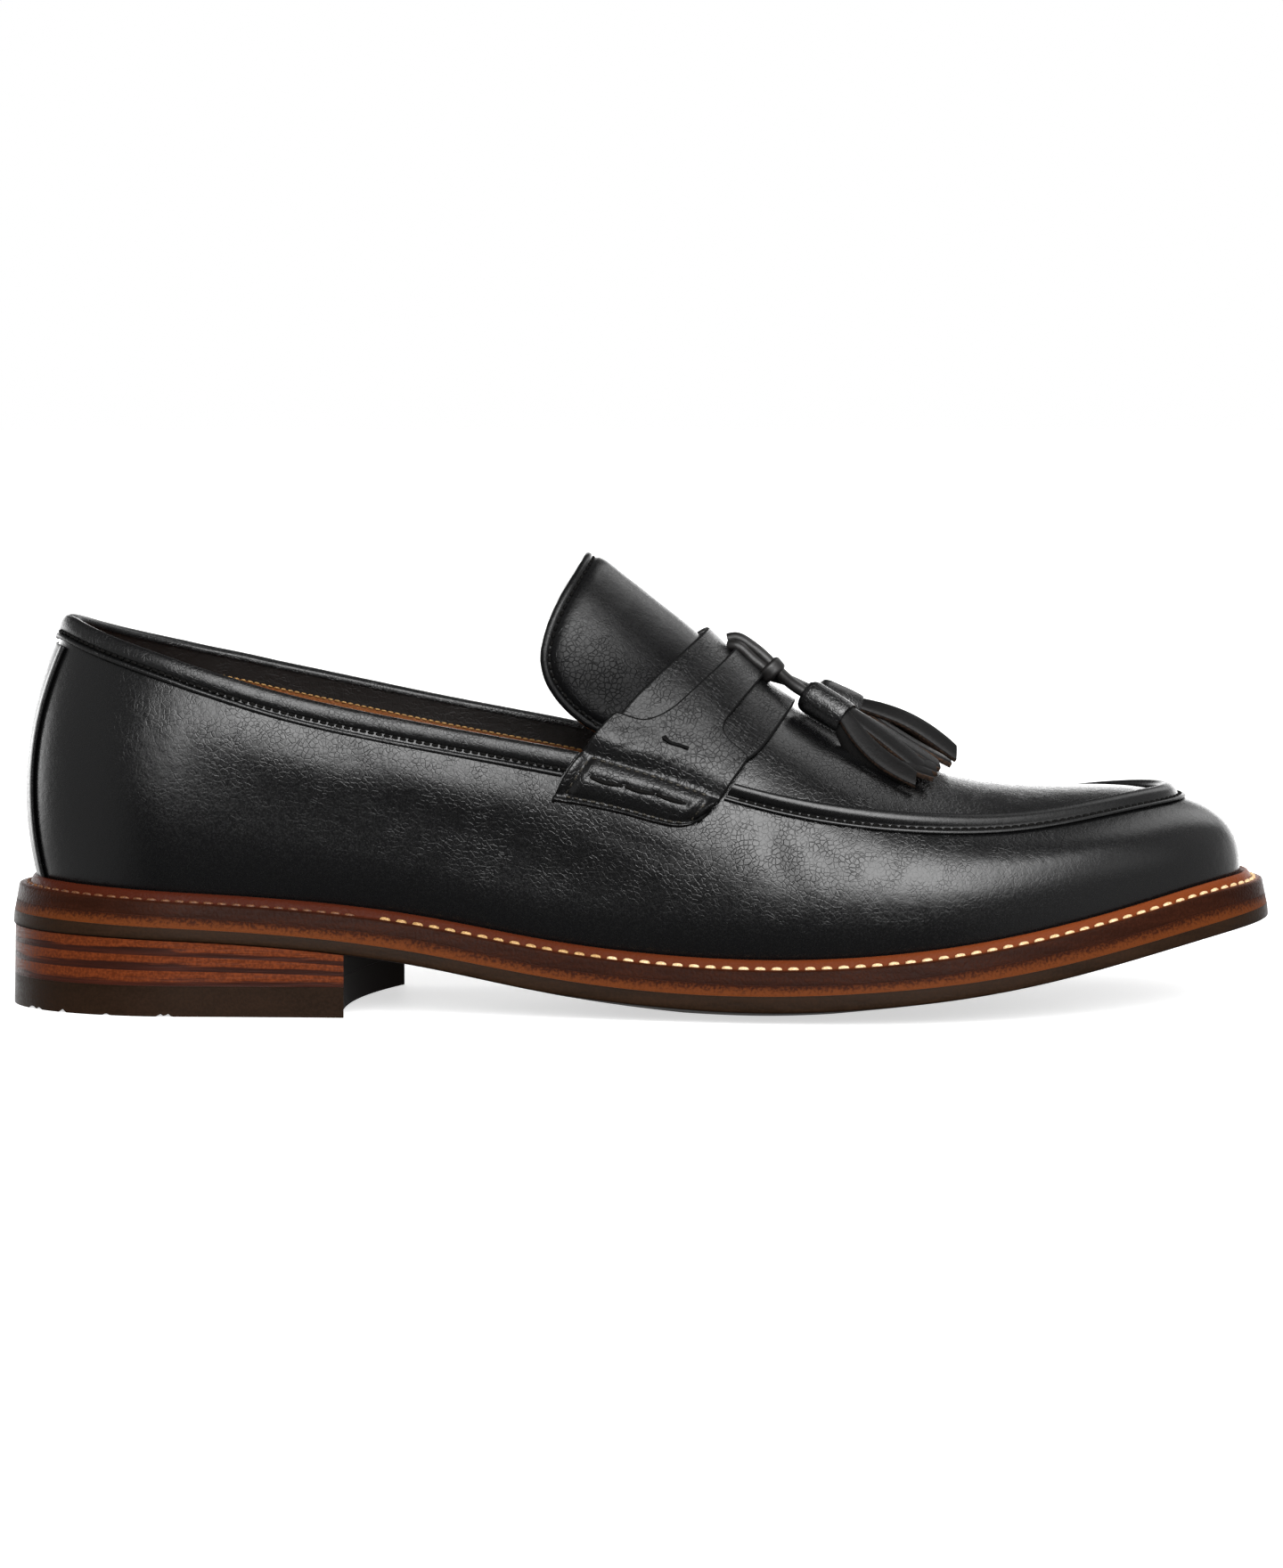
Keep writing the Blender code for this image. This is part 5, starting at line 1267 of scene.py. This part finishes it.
TASSELS = {
    "near": (TASSEL_NEAR_HEAD, 62, (
        ((56.0, -23.0, 62.1), (65.4, -27.4, 56.2), (0.1, -0.80, 0.60)),
        ((59.0, -17.4, 64.9), (67.4, -19.6, 58.2), (0.3, -0.65, 0.70)),
        ((61.6, -12.6, 64.9), (71.4, -13.6, 58.6), (0.3, -0.30, 0.90)),
        ((57.4, -19.2, 62.2), (69.4, -23.0, 56.9), (0.3, -0.35, 0.90)),
        ((60.2, -15.0, 63.2), (70.6, -17.4, 57.8), (0.3, -0.40, 0.85)),
        ((60.4, -11.0, 63.4), (69.6, -10.0, 59.2), (0.3, 0.10, 0.95)),
        ((52.4, -20.4, 61.0), (62.6, -25.2, 55.0), (-0.2, -0.75, -0.1)),
    )),
    "far": (TASSEL_FAR_HEAD, 75, (
        ((64.8, 1.4, 68.3), (76.4, 0.6, 60.4), (0.3, -0.75, 0.60)),
        ((63.8, 8.6, 66.0), (74.6, 8.4, 58.6), (0.4, 0.30, 0.85)),
        ((63.0, 2.8, 64.9), (74.6, 2.0, 58.3), (0.3, -0.15, 0.90)),
        ((61.6, 11.6, 63.6), (71.6, 15.4, 57.2), (0.2, 0.75, 0.65)),
        ((63.2, 5.8, 64.9), (74.4, 5.4, 58.3), (0.3, 0.10, 0.95)),
    )),
}
tassel_leather = leather(
    "tassel_leather", (0.0044, 0.0041, 0.0041, 1), 0.40, 0.5, plates=1400.0, depth=0.03, specular=0.16)
head_leather = leather("head_leather", BLACK, 0.25, 0.6, plates=1000.0, depth=0.06, specular=0.68)
tassel_suede, suede_tree, suede_shader = new_material("tassel_suede", 0.85, specular=0.25)
suede_speck = put_node(suede_tree, "Group", {"Layers": 60.0}, node_tree=fibre).outputs["Speck"]
suede_colour = blended(suede_tree, suede_speck, (0.016, 0.009, 0.006, 1), (0.050, 0.026, 0.014, 1))
suede_tree.links.new(suede_colour, suede_shader.inputs["Base Color"])
add_relief(suede_tree, suede_shader, 0.12, suede_speck)


def rolled_head(head, seam_angle):
    """Rolled head: oval sections whose radius grows once round, which leaves a step along the seam."""
    at = np.linspace(0, 1, HEAD_ROWS)
    path = head[0] + at[:, None] * (head[1] - head[0])
    ahead = aim_of(head)
    side = unit(np.cross(ahead, (0, 0, 1.0)))
    over = np.cross(side, ahead)
    turn = np.linspace(0, 2 * np.pi, HEAD_COLUMNS)
    grown = 1 - HEAD_STEP * np.linspace(1, 0, HEAD_COLUMNS) ** HEAD_STEP_POWER
    angle = turn + math.radians(seam_angle)
    swell = eased(HEAD_SWELL["at"], HEAD_SWELL["swell"])(at)[:, None] * grown / 2
    wide, tall = swell * np.cos(angle) * HEAD_WIDTH, swell * np.sin(angle) * HEAD_HEIGHT
    return tube(path[:, None] + wide[..., None] * side + tall[..., None] * over)


def cut_strip(head, middle, tip, face):
    """Strip from inside the head through a middle point to a slanted cut: slightly cupped sections with
    rounded edges. Returns its points and faces, and which faces are on its grain side."""
    face = np.array(face)
    root = head[1] - STRIP_ROOT * aim_of(head) + STRIP_SPREAD * face
    path = curve_through((root, middle, tip), STRIP_ROWS)
    at = np.linspace(0, 1, STRIP_ROWS)
    ahead = unit(np.gradient(path, axis=0))
    side = unit(np.cross(ahead, face))
    over = np.cross(side, ahead)
    s, high = STRIP_SECTION["across"], STRIP_SECTION["high"]
    loop_s = np.concatenate([s, s[-2:0:-1]])
    loop_h = np.concatenate([high, -high[-2:0:-1]]) * STRIP_THICKNESS - STRIP_CUP * (2 * loop_s) ** 2
    wide = eased(STRIP_TAPER["at"], STRIP_TAPER["share"])(at)[:, None] * STRIP_WIDTH * loop_s
    slant = np.clip((at - 1 + STRIP_CUT_RUN) / STRIP_CUT_RUN, 0, 1)[:, None] ** 2 * STRIP_CUT * wide
    section = wide[..., None] * side[:, None] + loop_h[:, None] * over[:, None]
    verts, faces = tube(path[:, None] + section + slant[..., None] * ahead[:, None])
    on_top = np.isin(np.arange(len(loop_s)), np.arange(1, len(s) - 2))
    return verts, faces, np.concatenate([np.tile(on_top, STRIP_ROWS - 1), [False, False]])


for name, (head, seam_angle, strips) in TASSELS.items():
    head_shape = rolled_head(head, seam_angle)
    cut = [cut_strip(head, *shape) for shape in strips]
    tones = np.concatenate([np.full(len(head_shape[1]), 2)] + [~grain for _, _, grain in cut])
    add_piece(
        f"rolled_tassel_{name}", *joined(head_shape, *(shape[:2] for shape in cut)),
        [tassel_leather, tassel_suede, head_leather], "black_leather", [f"tassel_{name}"], tones=tones)

# Floor, light and camera: a pale floor, a room with a tall soft light in front of the shoe, a low white
# wall behind it and a soft patch of light for the ridge of the instep, and a long lens at the height of a
# low table.
CAMERA_DISTANCE, CAMERA_RISE, AIM_HEIGHT = 1.400, math.radians(4.5), 0.053
LENS, SENSOR = 132.2, 36.0
FLOOR_REACH = 8.0
# Each light of the room is a product of soft steps: axis, where it begins and ends, and both levels
ROOM_LIGHTS = {
    "front": (
        ("Z", 0.02, 0.36, 0.03, 8.7), ("Z", 0.70, 0.88, 1.0, 0.1), ("Y", -0.5, -0.1, 1.0, 0.0),
        ("X", -0.50, -0.05, 0.0, 1.0), ("X", 0.30, 0.66, 1.0, 0.06),
    ),
    "wall": (
        ("Y", 0.20, 0.90, 0.0, 1.0), ("X", 0.3, 0.7, 1.0, 0.15), ("Z", 0.10, 0.36, 3.8, 0.04),
        ("Z", -0.25, 0.0, 0.1, 1.0),
    ),
    "ridge": (
        ("X", 0.22, 0.42, 0.0, 1.5), ("X", 0.50, 0.64, 1.0, 0.0), ("Z", 0.25, 0.45, 0.0, 1.0),
        ("Y", -0.1, 0.25, 0.0, 1.0),
    ),
    "toe": (("X", 0.3, 0.85, 0.07, 0.4),),
    "heel": (("X", -0.9, -0.35, 0.3, 0.0),),
}
floor_paint, _, floor_shader = new_material("floor_paint", 0.6, specular=0.2)
floor_shader.inputs["Base Color"].default_value = (0.86, 0.86, 0.86, 1)
floor_shader.inputs["Emission Color"].default_value = (1, 1, 1, 1)
floor_shader.inputs["Emission Strength"].default_value = 0.60
floor_mesh = bpy.data.meshes.new("floor")
floor_corners = FLOOR_REACH * np.array(((-1, -1, 0), (1, -1, 0), (1, 1, 0), (-1, 1, 0)))
floor_mesh.from_pydata(floor_corners.tolist(), [], [(0, 1, 2, 3)])
floor_mesh.materials.append(floor_paint)
floor = bpy.data.objects.new("floor", floor_mesh)
bpy.context.collection.objects.link(floor)
floor.visible_glossy = False
floor.visible_diffuse = False

world = bpy.data.worlds.new("white_room")
world.use_nodes = True
room = world.node_tree
room_place = put_node(room, "TexCoord").outputs["Generated"]
room_axes = put_node(room, "SeparateXYZ", {0: room_place})
room_parts = [
    product_of(room, *(ranged(room, room_axes.outputs[axis], *step) for axis, *step in steps))
    for steps in ROOM_LIGHTS.values()
]
room_light = sum_of(room, *room_parts)
room_seen = put_node(room, "LightPath").outputs["Is Camera Ray"]
room_power = put_node(room, "Mix", {"Factor": room_seen, 2: room_light, 3: 1.0}).outputs[0]
room.links.new(room_power, room.nodes["Background"].inputs["Strength"])
room.nodes["Background"].inputs["Color"].default_value = (1, 1, 1, 1)
bpy.context.scene.world = world

lens = bpy.data.cameras.new("camera")
lens.sensor_fit = "VERTICAL"
lens.sensor_height = SENSOR
lens.lens = LENS
camera = bpy.data.objects.new("camera", lens)
camera.location = (
    0, -CAMERA_DISTANCE * math.cos(CAMERA_RISE), AIM_HEIGHT + CAMERA_DISTANCE * math.sin(CAMERA_RISE))
camera.rotation_euler = (math.pi / 2 - CAMERA_RISE, 0, 0)
bpy.context.collection.objects.link(camera)
bpy.context.scene.camera = camera
bpy.context.scene.view_settings.view_transform = "Standard"
